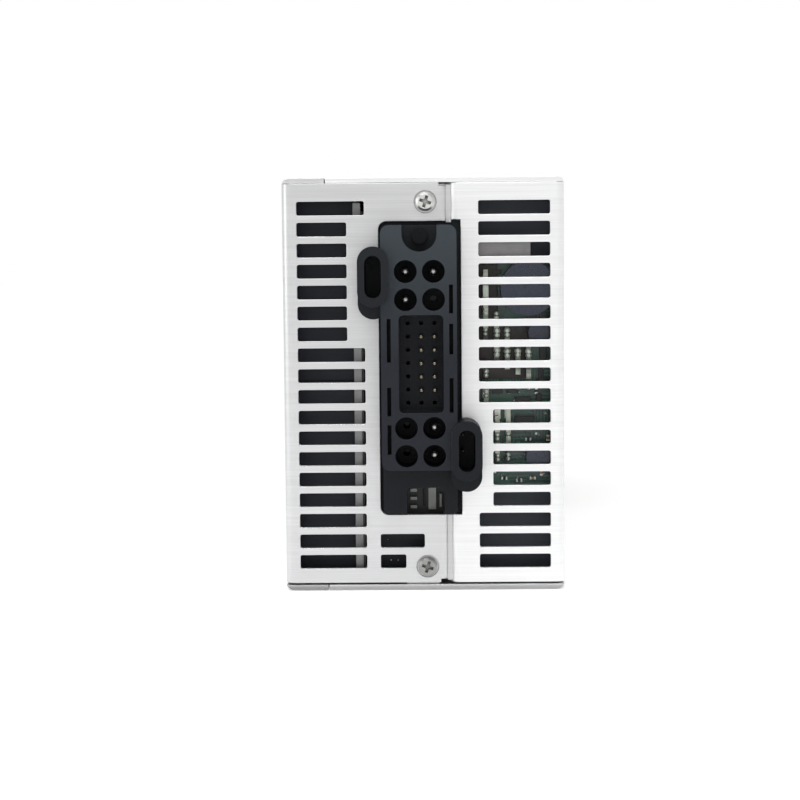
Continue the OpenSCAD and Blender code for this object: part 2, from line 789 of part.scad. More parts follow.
module display_module() {
  color("#1a1a1c") at_rear() span([window_x - 19, operator_face_y, window_z - 6],
                                  [window_x + 19, operator_face_y + 6, window_z + 6]);
}

module display_window() {
  color("#40202a") at_rear() along_y(front_y - 1.5, front_y)
    translate([window_x - window_w / 2 + 0.1, window_z - window_h / 2 + 0.1])
      round_rect(window_w - 0.2, window_h - 0.2, 1.4);
}

module key_switches() {
  color("#303236") at_rear() for (i = [0 : 3]) key_place(i) {
    span([-3, operator_face_y, -3], [3, operator_face_y + key_switch_h - 0.8, 3]);
    rod_y(0, 0, 3.2, operator_face_y + 1, operator_face_y + key_switch_h - 0.2);
  }
}

// Key cap: a head in the bezel's hole, with a flange behind it and a stem to the switch
module key_cap(i) {
  head_y = front_y + key_head_out;
  switch_y = operator_face_y + key_switch_h;
  color("#c9ccd0") at_rear() key_place(i) {
    rod_y(0, 0, key_d, bezel_face_y - 0.8, head_y);
    rod_y(0, 0, key_d + 2, bezel_face_y - 1.3, bezel_face_y - 0.3);
    rod_y(0, 0, 3, switch_y + key_travel + 0.1, bezel_face_y - 1.2);
  }
}

module key_up() {
  key_cap(0);
}

module key_down() {
  key_cap(1);
}

module key_mode() {
  key_cap(2);
}

module key_set() {
  key_cap(3);
}

module status_leds() {
  color("#7dd87a") at_rear() for (z = led_z)
    span([led_x - 0.9, operator_face_y, z - 0.7], [led_x + 0.9, operator_face_y + 0.9, z + 0.7]);
}

module light_pipes() {
  color("#dfe8ea") at_rear() for (z = led_z) rod_y(led_x, z, 3, operator_face_y + 1.2, front_y + 0.4);
}

module service_port() {
  back_y = front_y - 15.5;
  color("#b9bdc0") at_rear() difference() {
    span([port_x - port_w / 2, back_y, port_z - port_h / 2],
         [port_x + port_w / 2, front_y + 0.3, port_z + port_h / 2]);
    // Plug opening with its latch steps
    span([port_x - 5.9, back_y + 2, port_z - 5], [port_x + 5.9, front_y + 1, port_z + 2.2]);
    span([port_x - 3.1, back_y + 2, port_z + 2.1], [port_x + 3.1, front_y + 1, port_z + 3.8]);
    span([port_x - 1.6, back_y + 2, port_z + 3.7], [port_x + 1.6, front_y + 1, port_z + 5.2]);
  }
}

module port_contacts() {
  back_y = front_y - 13.5;
  color("#c9b26a") at_rear() for (i = [0 : 7])
    span([port_x - 3.8 + i * 1.02, back_y, port_z - 4.4],
         [port_x - 3.4 + i * 1.02, back_y + 9, port_z - 3.6]);
}

dial_neck_d = 4;
dial_body_h = 4;

module dial_bodies() {
  color("#2b4d86") at_rear() for (x = dial_x) difference() {
    span([x - 5, operator_face_y, dial_z - 5], [x + 5, operator_face_y + dial_body_h, dial_z + 5]);
    rod_y(x, dial_z, dial_neck_d + 0.1, operator_face_y + 1, operator_face_y + dial_body_h + 1);
  }
}

// Rotor of a coded rotary switch, with an arrow slot for a screwdriver
module dial_rotor(i) {
  top_y = front_y - 0.4;
  color("#eceff1") at_rear() translate([dial_x[i], 0, dial_z]) difference() {
    union() {
      rod_y(0, 0, dial_neck_d, operator_face_y + 1.3, operator_face_y + dial_body_h + 0.5);
      rod_y(0, 0, dial_d, operator_face_y + dial_body_h + 0.3, top_y);
    }
    span([-0.6, top_y - 1.2, -2.8], [0.6, top_y + 1, 2]);
    translate([0, top_y + 1, 1.6]) rotate([90, 0, 0]) linear_extrude(2.2)
      polygon([[-1.7, 0], [1.7, 0], [0, 2]]);
  }
}

module dial_tens() {
  dial_rotor(0);
}

module dial_units() {
  dial_rotor(1);
}

// ---------------------------------------------------------------- fan

shaft_d = 3;
hub_post_d = 10;

module at_fan() {
  at_rear() translate([fan_x, fan_face_y, fan_z]) children();
}

module fan_frame() {
  half = fan_size / 2;
  color("#1c1d20") at_fan() difference() {
    union() {
      difference() {
        along_y(-fan_d, 0) translate([-half, -half]) round_rect(fan_size, fan_size, 4);
        rod_y(0, 0, fan_bore_d, -fan_d - 1, 1);
      }
      // Motor carrier on its struts at the outlet side
      rod_y(0, 0, hub_d - 1, -fan_d, -fan_d + 3);
      for (turn = [45 : 90 : 315]) rotate([0, turn, 0])
        span([hub_d / 2 - 2, -fan_d, -1.5], [fan_bore_d / 2 + 1, -fan_d + 3, 1.5]);
      rod_y(0, 0, hub_post_d, -fan_d + 2, -6);
    }
    rod_y(0, 0, shaft_d + 0.1, -fan_d + 1.5, 1);
    for (sx = [-1, 1], sz = [-1, 1])
      rod_y(sx * fan_hole_pitch / 2, sz * fan_hole_pitch / 2, 4.3, -fan_d - 1, 1);
  }
}

module fan_rotor() {
  blade_from = hub_d / 2 - 1;
  blade_to = rotor_d / 2;
  color("#26282b") at_fan() {
    difference() {
      union() {
        rod_y(0, 0, hub_d, -fan_d + 4, -1.5);
        intersection() {
          rod_y(0, 0, rotor_d, -fan_d + 4, -2);
          for (i = [0 : fan_blades - 1]) rotate([0, i * 360 / fan_blades, 0])
            translate([blade_from, -fan_d / 2, 0]) rotate([-52, 0, 0])
              span([0, -10, -0.8], [blade_to, 10, 0.8]);
        }
      }
      rod_y(0, 0, hub_d - 4, -fan_d + 3, -3.5);
    }
    rod_y(0, 0, shaft_d, -fan_d + 2, -3);
  }
}

module fan_guard() {
  wire_d = 1.6;
  screw_r = fan_hole_pitch / sqrt(2);
  color("#c4c7ca") at_fan() translate([0, bezel_t + wire_d / 2, 0]) {
    for (r = [8 : 6.4 : 27.5]) rotate([90, 0, 0]) rotate_extrude() translate([r, 0]) circle(d = wire_d);
    for (turn = [45 : 90 : 315]) rotate([0, turn, 0]) {
      rod_x(0.9, 0, wire_d, 6.5, screw_r - 2.6);
      difference() {
        rod_y(screw_r, 0, 7.6, 0.1, 1.5);
        rod_y(screw_r, 0, 4.3, -1, 3);
      }
    }
  }
}

module fan_screws() {
  color("#3a3d42") at_fan() for (sx = [-1, 1], sz = [-1, 1])
    translate([sx * fan_hole_pitch / 2, 0, sz * fan_hole_pitch / 2]) {
      rod_y(0, 0, 3.9, -14, bezel_t + 3);
      difference() {
        rod_y(0, 0, 6.8, bezel_t + 2.3, bezel_t + 4.2);
        mirror([0, 1, 0]) translate([0, -bezel_t - 4.2, 0]) phillips_cut(3.6, 1.1);
      }
    }
}

// ---------------------------------------------------------------- extraction lever

// Side view of the lever, drawn in Y-Z about its pivot
module lever_outline() {
  circle(3.3);
  translate([-2.4, 0]) square([lever_t, lever_len - 4]);
  translate([-2.4 + lever_t / 2, lever_len - 4]) circle(lever_t / 2);
  // Grip that stands proud at the top
  translate([-1, lever_len - 16]) square([grip_y + grip_r - 0.3, 12]);
  translate([grip_y, lever_len - 4]) circle(grip_r);
  // Cam nose that bears on the rack
  translate([-1.6, -6]) square([3.2, 6]);
}

module lever() {
  color("#c23b2e") at_rear() translate([lever_x, lever_y, lever_z]) difference() {
    translate([-lever_w / 2, 0, 0]) rotate([90, 0, 90]) linear_extrude(lever_w) lever_outline();
    rod_x(0, 0, lever_pin_d + 0.1, -lever_w, lever_w);
    // Lightening window
    span([-lever_w / 2 + 2.4, -10, 9], [lever_w / 2 - 2.4, 10, lever_len - 20]);
  }
}

module lever_pin() {
  reach = lever_w / 2 + 0.2 + lug_t;
  color("silver") at_rear() translate([lever_x, lever_y, lever_z])
    rod_x(0, 0, lever_pin_d, -reach, reach);
}

// ---------------------------------------------------------------- label

// Blank self-adhesive label on the top wall
module rating_label() {
  color("whitesmoke") at_rear() translate([-18, 66, case_h])
    linear_extrude(label_t) round_rect(46, 70, 2);
}

chassis();
cover();
case_screws();
clinch_nuts();
side_screws();
connector_housing();
power_pins();
signal_pins();
guide_contacts();
connector_screws();
connector_board();
board_chips();
board_leads();
board_capacitors();
bus_bar();
terminal_lugs();
carrier_plate();
heat_sink();
insulation_sheet();
power_module();
power_board();
dc_capacitors();
choke_core();
choke_winding();
transformer();
relays();
board_link();
lower_spacers();
board_spacers();
board_screws();
control_board();
processor();
control_chips();
front_bezel();
operator_board();
display_module();
display_window();
key_switches();
key_up();
key_down();
key_mode();
key_set();
status_leds();
light_pipes();
service_port();
port_contacts();
dial_bodies();
dial_tens();
dial_units();
fan_frame();
fan_rotor();
fan_guard();
fan_screws();
lever();
lever_pin();
rating_label();
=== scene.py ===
import math
import random

import bmesh
import bpy
from mathutils import Matrix, Vector


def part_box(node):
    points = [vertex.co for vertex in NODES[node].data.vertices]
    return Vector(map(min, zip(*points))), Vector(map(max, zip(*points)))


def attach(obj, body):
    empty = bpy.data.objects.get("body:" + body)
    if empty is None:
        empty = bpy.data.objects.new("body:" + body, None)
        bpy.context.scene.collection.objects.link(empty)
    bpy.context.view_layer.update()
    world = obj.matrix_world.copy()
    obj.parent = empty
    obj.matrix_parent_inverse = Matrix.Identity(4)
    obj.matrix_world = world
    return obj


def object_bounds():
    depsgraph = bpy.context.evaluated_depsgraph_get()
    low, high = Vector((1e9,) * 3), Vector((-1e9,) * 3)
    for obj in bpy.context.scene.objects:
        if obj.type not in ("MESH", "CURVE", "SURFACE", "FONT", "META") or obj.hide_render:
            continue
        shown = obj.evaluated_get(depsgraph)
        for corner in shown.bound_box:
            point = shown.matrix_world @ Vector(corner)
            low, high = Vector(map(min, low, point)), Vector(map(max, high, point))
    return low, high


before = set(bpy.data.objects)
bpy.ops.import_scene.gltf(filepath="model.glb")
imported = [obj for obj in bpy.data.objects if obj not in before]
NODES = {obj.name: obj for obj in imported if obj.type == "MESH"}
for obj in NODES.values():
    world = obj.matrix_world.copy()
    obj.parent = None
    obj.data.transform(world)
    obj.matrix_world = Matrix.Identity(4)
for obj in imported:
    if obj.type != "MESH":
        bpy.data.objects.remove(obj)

MM = 0.001
cad_lo, cad_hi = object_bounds()
# Place of the rear panel's outer face in metres; depths below are counted from it, in millimetres
REAR_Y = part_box("chassis")[0].y
# A fixed seed keeps the small scatter of parts the same on every run
scatter = random.Random(7)


# ---------------------------------------------------------------- materials

class Finish:
    """Node tree of one material. Its patterns are laid out in millimetres of object space."""

    def __init__(self, name):
        self.material = bpy.data.materials.new(name)
        self.material.use_nodes = True
        self.tree = self.material.node_tree
        self.tree.nodes.clear()
        self.shader = self.node("ShaderNodeBsdfPrincipled")
        output = self.node("ShaderNodeOutputMaterial")
        self.tree.links.new(self.shader.outputs[0], output.inputs[0])
        place = self.node("ShaderNodeTexCoord")
        scaled = self.node("ShaderNodeVectorMath", operation="SCALE")
        self.tree.links.new(place.outputs["Object"], scaled.inputs[0])
        scaled.inputs["Scale"].default_value = 1 / MM
        self.mm = scaled.outputs[0]
        self.normal_in = None

    def node(self, kind, **settings):
        made = self.tree.nodes.new(kind)
        for key, value in settings.items():
            setattr(made, key, value)
        return made

    def put(self, socket, value):
        """Links another node's output to a socket, or sets a plain number or colour on it."""
        if isinstance(value, bpy.types.NodeSocket):
            self.tree.links.new(value, socket)
        elif isinstance(value, tuple) and len(value) == 3 and socket.type == "RGBA":
            socket.default_value = (*value, 1.0)
        else:
            socket.default_value = value

    def set(self, **sockets):
        """Sets sockets of the shader, named with underscores for spaces."""
        for name, value in sockets.items():
            self.put(self.shader.inputs[name.replace("_", " ")], value)

    def math(self, operation, a, b=0.0):
        made = self.node("ShaderNodeMath", operation=operation)
        self.put(made.inputs[0], a)
        self.put(made.inputs[1], b)
        return made.outputs[0]

    def stretched(self, frequency):
        """Object place times a frequency in cycles per millimetre, one number or one for each axis."""
        if not isinstance(frequency, tuple):
            frequency = (frequency,) * 3
        made = self.node("ShaderNodeVectorMath", operation="MULTIPLY")
        self.put(made.inputs[0], self.mm)
        made.inputs[1].default_value = frequency
        return made.outputs[0]

    def noise(self, frequency, detail=2.0, roughness=0.5, distortion=0.0):
        made = self.node("ShaderNodeTexNoise")
        self.put(made.inputs["Vector"], self.stretched(frequency))
        made.inputs["Scale"].default_value = 1.0
        made.inputs["Detail"].default_value = detail
        made.inputs["Roughness"].default_value = roughness
        made.inputs["Distortion"].default_value = distortion
        return made.outputs[0]

    def cells(self, frequency, output="Distance", metric="EUCLIDEAN"):
        made = self.node("ShaderNodeTexVoronoi", distance=metric)
        self.put(made.inputs["Vector"], self.stretched(frequency))
        made.inputs["Scale"].default_value = 1.0
        return made.outputs[output]

    def remap(self, value, low, high, to_low, to_high):
        """Takes a value from one range to another, and holds it there outside the range."""
        made = self.node("ShaderNodeMapRange")
        for socket, number in zip(made.inputs, (value, low, high, to_low, to_high)):
            self.put(socket, number)
        return made.outputs[0]

    def spread(self, noise, to_low, to_high):
        """Takes a noise, which lies mostly between 0.3 and 0.7, to another range."""
        return self.remap(noise, 0.3, 0.7, to_low, to_high)

    def mix(self, share, a, b):
        """Colour a where the share is 0, and b where it is 1."""
        made = self.node("ShaderNodeMix", data_type="RGBA")
        self.put(made.inputs[0], share)
        self.put(made.inputs[6], a)
        self.put(made.inputs[7], b)
        return made.outputs[2]

    def choose(self, share, a, b):
        """Number a where the share is 0, and b where it is 1."""
        made = self.node("ShaderNodeMix", data_type="FLOAT")
        self.put(made.inputs[0], share)
        self.put(made.inputs[2], a)
        self.put(made.inputs[3], b)
        return made.outputs[0]

    def axis(self, which):
        made = self.node("ShaderNodeSeparateXYZ")
        self.put(made.inputs[0], self.mm)
        return made.outputs["XYZ".index(which)]

    def between(self, value, low, high):
        """1 where the value lies between two numbers, and 0 elsewhere."""
        above = self.math("GREATER_THAN", value, low)
        return self.math("MULTIPLY", above, self.math("LESS_THAN", value, high))

    def facing(self, which):
        """1 where the surface faces within 45 degrees of an axis, and 0 elsewhere."""
        geometry = self.node("ShaderNodeNewGeometry")
        parts = self.node("ShaderNodeSeparateXYZ")
        self.put(parts.inputs[0], geometry.outputs["True Normal"])
        size = self.math("ABSOLUTE", parts.outputs["XYZ".index(which)])
        return self.math("GREATER_THAN", size, 0.7)

    def rounded(self, radius):
        """Softens the shading of sharp edges, and returns how close the surface is to one."""
        bevel = self.node("ShaderNodeBevel", samples=6)
        bevel.inputs["Radius"].default_value = radius * MM
        geometry = self.node("ShaderNodeNewGeometry")
        dot = self.node("ShaderNodeVectorMath", operation="DOT_PRODUCT")
        self.put(dot.inputs[0], bevel.outputs[0])
        self.put(dot.inputs[1], geometry.outputs["Normal"])
        self.normal_in = bevel.outputs[0]
        return self.remap(dot.outputs["Value"], 0.985, 0.8, 0.0, 1.0)

    def bump(self, height, depth, strength=1.0):
        """Adds relief of a depth in millimetres to what the surface has already."""
        made = self.node("ShaderNodeBump")
        made.inputs["Strength"].default_value = strength
        made.inputs["Distance"].default_value = depth * MM
        self.put(made.inputs["Height"], height)
        if self.normal_in is not None:
            self.put(made.inputs["Normal"], self.normal_in)
        self.normal_in = made.outputs[0]
        self.put(self.shader.inputs["Normal"], self.normal_in)

    def crevice(self, distance):
        """1 in the open and less in corners, for dust and for painted shade in corners."""
        made = self.node("ShaderNodeAmbientOcclusion", samples=6)
        made.inputs["Distance"].default_value = distance * MM
        return made.outputs["AO"]


def scaled(colour, by):
    """A colour made darker or lighter."""
    return tuple(min(1.0, c * by) for c in colour)


def sheet_metal(name, base, roughness=0.36):
    """Plated sheet with rolling lines that run along each wall."""
    f = Finish(name)
    edge = f.rounded(0.3)
    flat = f.facing("Z")
    # Upright walls are rolled along their length, and the top and bottom walls along the depth
    along, across = 0.035, 4.2
    fine = f.choose(flat, f.noise((along, along, across), 3, 0.6), f.noise((across, along, along), 3, 0.6))
    along, across = 0.012, 0.8
    broad = f.choose(flat, f.noise((along, along, across), 2, 0.5), f.noise((across, along, along), 2, 0.5))
    cloud = f.noise(0.022, 3, 0.55)
    grain = f.math("ADD", f.math("MULTIPLY", fine, 0.6), f.math("MULTIPLY", broad, 0.4))
    tone = f.mix(f.remap(grain, 0.34, 0.66, 0, 1), scaled(base, 0.9), scaled(base, 1.05))
    tone = f.mix(f.spread(cloud, 0, 0.5), tone, scaled(base, 0.93))
    marks = f.remap(f.noise((0.5, 0.5, 0.06), 4, 0.7, 0.8), 0.66, 0.78, 0, 0.28)
    tone = f.mix(marks, tone, scaled(base, 0.78))
    tone = f.mix(f.math("MULTIPLY", edge, 0.7), tone, scaled(base, 1.2))
    # Painted shade: the fold along the bottom is painted dark between these heights
    fold_shade_top, fold_shade_foot = 2.4, 0.7
    tone = f.mix(f.remap(f.axis("Z"), fold_shade_top, fold_shade_foot, 0, 0.72), tone, scaled(base, 0.2))
    f.set(Base_Color=tone, Metallic=0.88)
    gloss = f.spread(grain, roughness - 0.06, roughness + 0.08)
    gloss = f.math("ADD", gloss, f.spread(cloud, -0.03, 0.05))
    f.set(Roughness=f.math("SUBTRACT", gloss, f.math("MULTIPLY", edge, 0.08)))
    f.bump(f.noise(0.03, 1, 0.4), 0.25, 0.5)
    f.bump(grain, 0.012, 0.7)
    return f.material


def moulded(name, base, roughness=0.5, grain=0.012, edge_light=1.9, dust=0.10, coarse=5.5, top=None,
            ribs=None, face=None):
    """Injection-moulded plastic with a fine spark-eroded texture, paler on its rubbed edges.
    top is (z where the painted light from above starts, z where it is strongest, colour there).
    ribs is (lowest z, highest z, pitch, height) of a ribbed grip.
    face is (y where the front face starts, y where it ends, share of painted shade before and behind it)."""
    f = Finish(name)
    edge = f.rounded(0.28)
    fine = f.noise(coarse, 3, 0.65)
    cloud = f.noise(0.06, 3, 0.6)
    tone = f.mix(f.spread(cloud, 0, 1), scaled(base, 0.86), scaled(base, 1.14))
    tone = f.mix(f.remap(fine, 0.35, 0.75, 0, 0.35), tone, scaled(base, 1.35))
    # Painted light: the upper part is painted paler between these heights, as if lit from above
    if top:
        low, high, pale = top
        tone = f.mix(f.remap(f.axis("Z"), low, high, 0, 1), tone, pale)
    # Painted shade: surfaces nearer or farther than the front face are painted darker
    if face:
        start, end, dark = face
        near = f.remap(f.axis("Y"), start - 0.4, start, dark, 0)
        far = f.remap(f.axis("Y"), end, end + 0.5, 0, dark)
        tone = f.mix(f.math("MAXIMUM", near, far), tone, scaled(base, 0.45))
    open_air = f.crevice(2.5)
    dusty = tuple(0.75 * c + 0.16 for c in base)
    specks = f.remap(f.noise(0.9, 4, 0.7), 0.52, 0.72, 0, 1)
    dull = f.math("MULTIPLY", f.remap(open_air, 0.95, 0.55, 0, dust), specks)
    tone = f.mix(dull, tone, dusty)
    worn = f.math("MULTIPLY", edge, f.remap(f.noise(0.35, 3, 0.6), 0.35, 0.65, 0.2, 0.8))
    tone = f.mix(worn, tone, scaled(base, edge_light))
    f.set(Base_Color=tone)
    gloss = f.spread(fine, roughness - 0.05, roughness + 0.07)
    f.set(Roughness=f.math("SUBTRACT", gloss, f.math("MULTIPLY", worn, 0.12)))
    f.bump(fine, grain, 0.8)
    f.bump(f.noise(0.12, 2, 0.5), 0.05, 0.4)
    if ribs:
        low, high, pitch, height = ribs
        half = pitch / 2
        wave = f.remap(f.math("PINGPONG", f.axis("Z"), half), 0.2 * half, 0.8 * half, 0, 1)
        f.bump(f.math("MULTIPLY", wave, f.between(f.axis("Z"), low, high)), height)
    return f.material


def plated(name, base, roughness=0.26, tarnish=(0.45, 0.4, 0.33), brush=(3.0, 3.0, 3.0), metallic=1.0,
           shade=0.55, low_shade=None):
    """Turned or stamped metal with tool marks, handling haze, brighter edges and painted shade in its
    corners.
    The last argument holds (z where the painted shade is darkest, z where it ends, how much light is left
    there)."""
    f = Finish(name)
    edge = f.rounded(0.15)
    fine = f.noise(brush, 3, 0.6)
    cloud = f.noise(0.35, 3, 0.6)
    tone = f.mix(f.spread(fine, 0, 1), scaled(base, 0.88), scaled(base, 1.06))
    tone = f.mix(f.remap(cloud, 0.5, 0.8, 0, 0.5), tone, tuple(b * t * 1.5 for b, t in zip(base, tarnish)))
    tone = f.mix(f.math("MULTIPLY", edge, 0.5), tone, scaled(base, 1.2))
    # Painted shade: corners that the open air reaches less are painted darker, by the share given as shade
    tone = f.mix(f.remap(f.crevice(1.6), 0.9, 0.35, 0, shade), tone, scaled(base, 0.08))
    # Painted shade: darker towards the bottom, as if less light reaches the lower parts
    if low_shade:
        low, high, left = low_shade
        tone = f.mix(f.remap(f.axis("Z"), low, high, 1 - left, 0), tone, scaled(base, 0.12))
    f.set(Base_Color=tone, Metallic=metallic)
    f.set(Roughness=f.math("ADD", f.spread(fine, roughness - 0.07, roughness + 0.07),
                           f.remap(cloud, 0.4, 0.8, 0, 0.14)))
    f.bump(fine, 0.01, 0.6)
    return f.material


def fluxed(name, base, flux, roughness=0.38):
    """Tinned wire half covered with dark flux and lacquer, in patches along its length."""
    f = Finish(name)
    edge = f.rounded(0.2)
    fine = f.noise((1.4, 1.4, 0.6), 3, 0.6)
    patch = f.remap(f.noise((0.05, 0.05, 0.3), 2, 0.5, 0.3), 0.44, 0.6, 0, 0.92)
    tone = f.mix(f.spread(fine, 0, 1), scaled(base, 0.82), scaled(base, 1.08))
    tone = f.mix(f.math("MULTIPLY", edge, 0.35), tone, scaled(base, 1.25))
    tone = f.mix(patch, tone, flux)
    f.set(Base_Color=tone, Metallic=f.remap(patch, 0, 1, 0.75, 0.1))
    f.set(Roughness=f.spread(fine, roughness - 0.08, roughness + 0.1))
    f.bump(fine, 0.02, 0.6)
    return f.material


def circuit_board(name, across, along, base=(0.018, 0.105, 0.062), trace_colour=(0.05, 0.2, 0.105)):
    """Solder mask over copper traces that change direction from patch to patch, with tinned vias."""
    f = Finish(name)
    f.rounded(0.12)
    patch = f.node("ShaderNodeSeparateColor")
    f.put(patch.inputs[0], f.cells(0.11, "Color", "CHEBYCHEV"))
    pick, thin = patch.outputs[0], patch.outputs[1]

    def stripes(which, pitch):
        """Traces that fill 38 % of their pitch."""
        wave = f.math("PINGPONG", f.axis(which), pitch / 2)
        return f.math("LESS_THAN", wave, pitch * 0.19)

    lines = f.choose(f.math("GREATER_THAN", pick, 0.5), stripes(across, 0.9), stripes(along, 1.1))
    trace = f.math("MULTIPLY", lines, f.math("GREATER_THAN", thin, 0.3))
    pour = f.math("GREATER_THAN", f.noise(0.07, 1, 0.4), 0.56)
    copper = f.math("MAXIMUM", trace, f.math("MULTIPLY", pour, 0.8))
    cloud = f.noise(0.05, 3, 0.6)
    tone = f.mix(f.spread(cloud, 0, 1), scaled(base, 0.8), scaled(base, 1.2))
    tone = f.mix(f.math("MULTIPLY", copper, 0.75), tone, trace_colour)
    ring = f.math("LESS_THAN", f.cells(0.2), 0.085)
    tone = f.mix(ring, tone, (0.62, 0.63, 0.6))
    f.set(Base_Color=tone, Metallic=f.math("MULTIPLY", ring, 0.9))
    f.set(Roughness=f.math("ADD", f.spread(f.noise(0.5, 3, 0.6), 0.24, 0.38),
                           f.math("MULTIPLY", ring, 0.1)))
    f.set(Coat_Weight=0.25, Coat_Roughness=0.2)
    f.bump(copper, 0.03, 0.8)
    return f.material


def wound(name, base, gap, which, pitch, roughness=0.35):
    """Layers of wire or tape seen as fine ridges across one axis."""
    f = Finish(name)
    f.rounded(0.2)
    waver = f.math("MULTIPLY", f.noise(0.2), 0.6)
    ridge = f.math("PINGPONG", f.math("ADD", f.axis(which), waver), pitch / 2)
    ridge = f.remap(ridge, 0.0, pitch / 2, 0, 1)
    cloud = f.noise(0.25, 3, 0.6)
    tone = f.mix(ridge, gap, base)
    tone = f.mix(f.remap(cloud, 0.35, 0.7, 0, 0.5), tone, scaled(base, 0.72))
    f.set(Base_Color=tone, Roughness=f.spread(cloud, roughness - 0.08, roughness + 0.12))
    f.bump(ridge, 0.12, 0.8)
    return f.material


def see_through(name, base, roughness, transmission):
    """Clear or tinted acrylic with haze and the streaks of a cloth."""
    f = Finish(name)
    haze = f.noise(0.25, 3, 0.6)
    wipes = f.remap(f.noise((0.9, 0.9, 0.08), 3, 0.7), 0.55, 0.75, 0, 1)
    tone = f.mix(f.spread(haze, 0, 1), scaled(base, 0.9), scaled(base, 1.1))
    acrylic_ior = 1.49
    f.set(Base_Color=tone, IOR=acrylic_ior, Transmission_Weight=transmission)
    f.set(Roughness=f.math("ADD", f.spread(haze, roughness, roughness + 0.06),
                           f.math("MULTIPLY", wipes, 0.05)))
    f.bump(f.noise(9.0, 2, 0.5), 0.001, 0.3)
    return f.material


def printed_label(name, paper, ink, corner, size):
    """White film with a ruled form of empty fields: border, header band, rules and one column line."""
    f = Finish(name)
    x = f.math("SUBTRACT", f.axis("X"), corner[0])
    y = f.math("SUBTRACT", f.axis("Y"), corner[1])
    wide, deep = size

    def inset(margin):
        return f.math("MULTIPLY", f.between(x, margin, wide - margin), f.between(y, margin, deep - margin))

    border, border_width = 2.0, 0.4
    core = inset(border + border_width)
    frame_line = f.math("SUBTRACT", inset(border), core)
    first_rule, rule_pitch, rule_half_width = 6.0, 6.0, 0.12
    rules = f.math("PINGPONG", f.math("SUBTRACT", y, first_rule), rule_pitch / 2)
    rules = f.math("LESS_THAN", rules, rule_half_width)
    rules = f.math("MULTIPLY", rules, f.between(y, first_rule - 1.0, deep - 17.0))
    column = f.math("MULTIPLY", f.between(x, 17.0, 17.3), f.between(y, first_rule, deep - 16.0))
    band = f.math("MULTIPLY", f.between(x, 4.0, wide - 4.0), f.between(y, deep - 13.0, deep - 5.0))
    field = f.math("MAXIMUM", f.math("MAXIMUM", rules, column), f.math("MULTIPLY", band, 0.8))
    ink_share = f.math("MAXIMUM", frame_line, f.math("MULTIPLY", field, core))
    wear = f.remap(f.noise(1.6, 4, 0.7), 0.35, 0.6, 0.75, 1.0)
    cloud = f.noise(0.09, 3, 0.5)
    tone = f.mix(f.spread(cloud, 0, 1), scaled(paper, 0.97), paper)
    tone = f.mix(f.math("MULTIPLY", ink_share, wear), tone, ink)
    f.set(Base_Color=tone, Roughness=f.spread(cloud, 0.34, 0.46))
    f.bump(f.noise(2.2, 2, 0.5), 0.004, 0.5)
    f.bump(ink_share, 0.01, 0.3)
    return f.material


def adjusted(material, **sockets):
    """Sets plain numbers or colours on the shader of a finished material."""
    shader = material.node_tree.nodes["Principled BSDF"]
    for name, value in sockets.items():
        shader.inputs[name.replace("_", " ")].default_value = value
    return material


# Colours are linear red, green and blue. Finishes of the CAD nodes come first
LEFT_SHEET = sheet_metal("left_sheet", (0.655, 0.658, 0.662))
RIGHT_SHEET = sheet_metal("right_sheet", (0.885, 0.888, 0.89), 0.4)
SEAM_SHEET = sheet_metal("seam_sheet", (0.62, 0.62, 0.625), 0.45)
ZINC = plated("zinc_steel", (0.7, 0.7, 0.69), 0.3)
CASE_SCREW = plated("case_screw_zinc", (0.72, 0.72, 0.7), 0.34, shade=0.95, low_shade=(20, 100, 0.42))
# The connector's face stands 10.5 to 11.6 mm out of the panel; what lies nearer or farther is painted darker,
# as painted shade
CONNECTOR_FACE_SHADE = (REAR_Y / MM - 11.6, REAR_Y / MM - 10.5, 0.85)
# Painted light: the connector's upper part, from z 68 to 104, is painted paler as if lit from above
CONNECTOR_BLACK = adjusted(moulded("connector_black", (0.0125, 0.0145, 0.0195), 0.52, 0.01, 2.2, 0.08,
                                   top=(68, 104, (0.036, 0.045, 0.052)), face=CONNECTOR_FACE_SHADE),
                           Specular_IOR_Level=0.18)
SILVER = plated("silver_plate", (0.52, 0.52, 0.51), 0.3)
GOLD = plated("gold_flash", (0.5, 0.46, 0.33), 0.24, (0.5, 0.42, 0.3))
# Painted shade: a darker copy of the gold finish, for the signal pins in their recessed field
SHADED_SIGNAL_GOLD = plated("signal_gold", (0.22, 0.2, 0.15), 0.3, (0.5, 0.42, 0.3))
# Painted shade: a darker copy of the board finish, for the shade inside the case behind the slots
SHADED_REAR_BOARD = circuit_board("rear_board_mask", "X", "Z", (0.022, 0.055, 0.046), (0.035, 0.13, 0.085))
OPERATOR_BOARD = circuit_board("operator_board_mask", "X", "Z")
SIDE_BOARD = circuit_board("side_board_mask", "Y", "Z")
CHIP = moulded("chip_epoxy", (0.022, 0.022, 0.024), 0.42, 0.008, 1.8, 0.12, 9.0)
TIN = fluxed("tinned_lead", (0.46, 0.49, 0.42), (0.02, 0.03, 0.026))
SLEEVE = moulded("capacitor_sleeve", (0.018, 0.024, 0.045), 0.28, 0.004, 1.8, 0.1)
# Painted shade: the tinned copper is painted darker for the shade inside the case
BUSBAR = plated("tinned_copper", (0.25, 0.245, 0.25), 0.38, (0.6, 0.55, 0.5), (0.2, 3, 3))
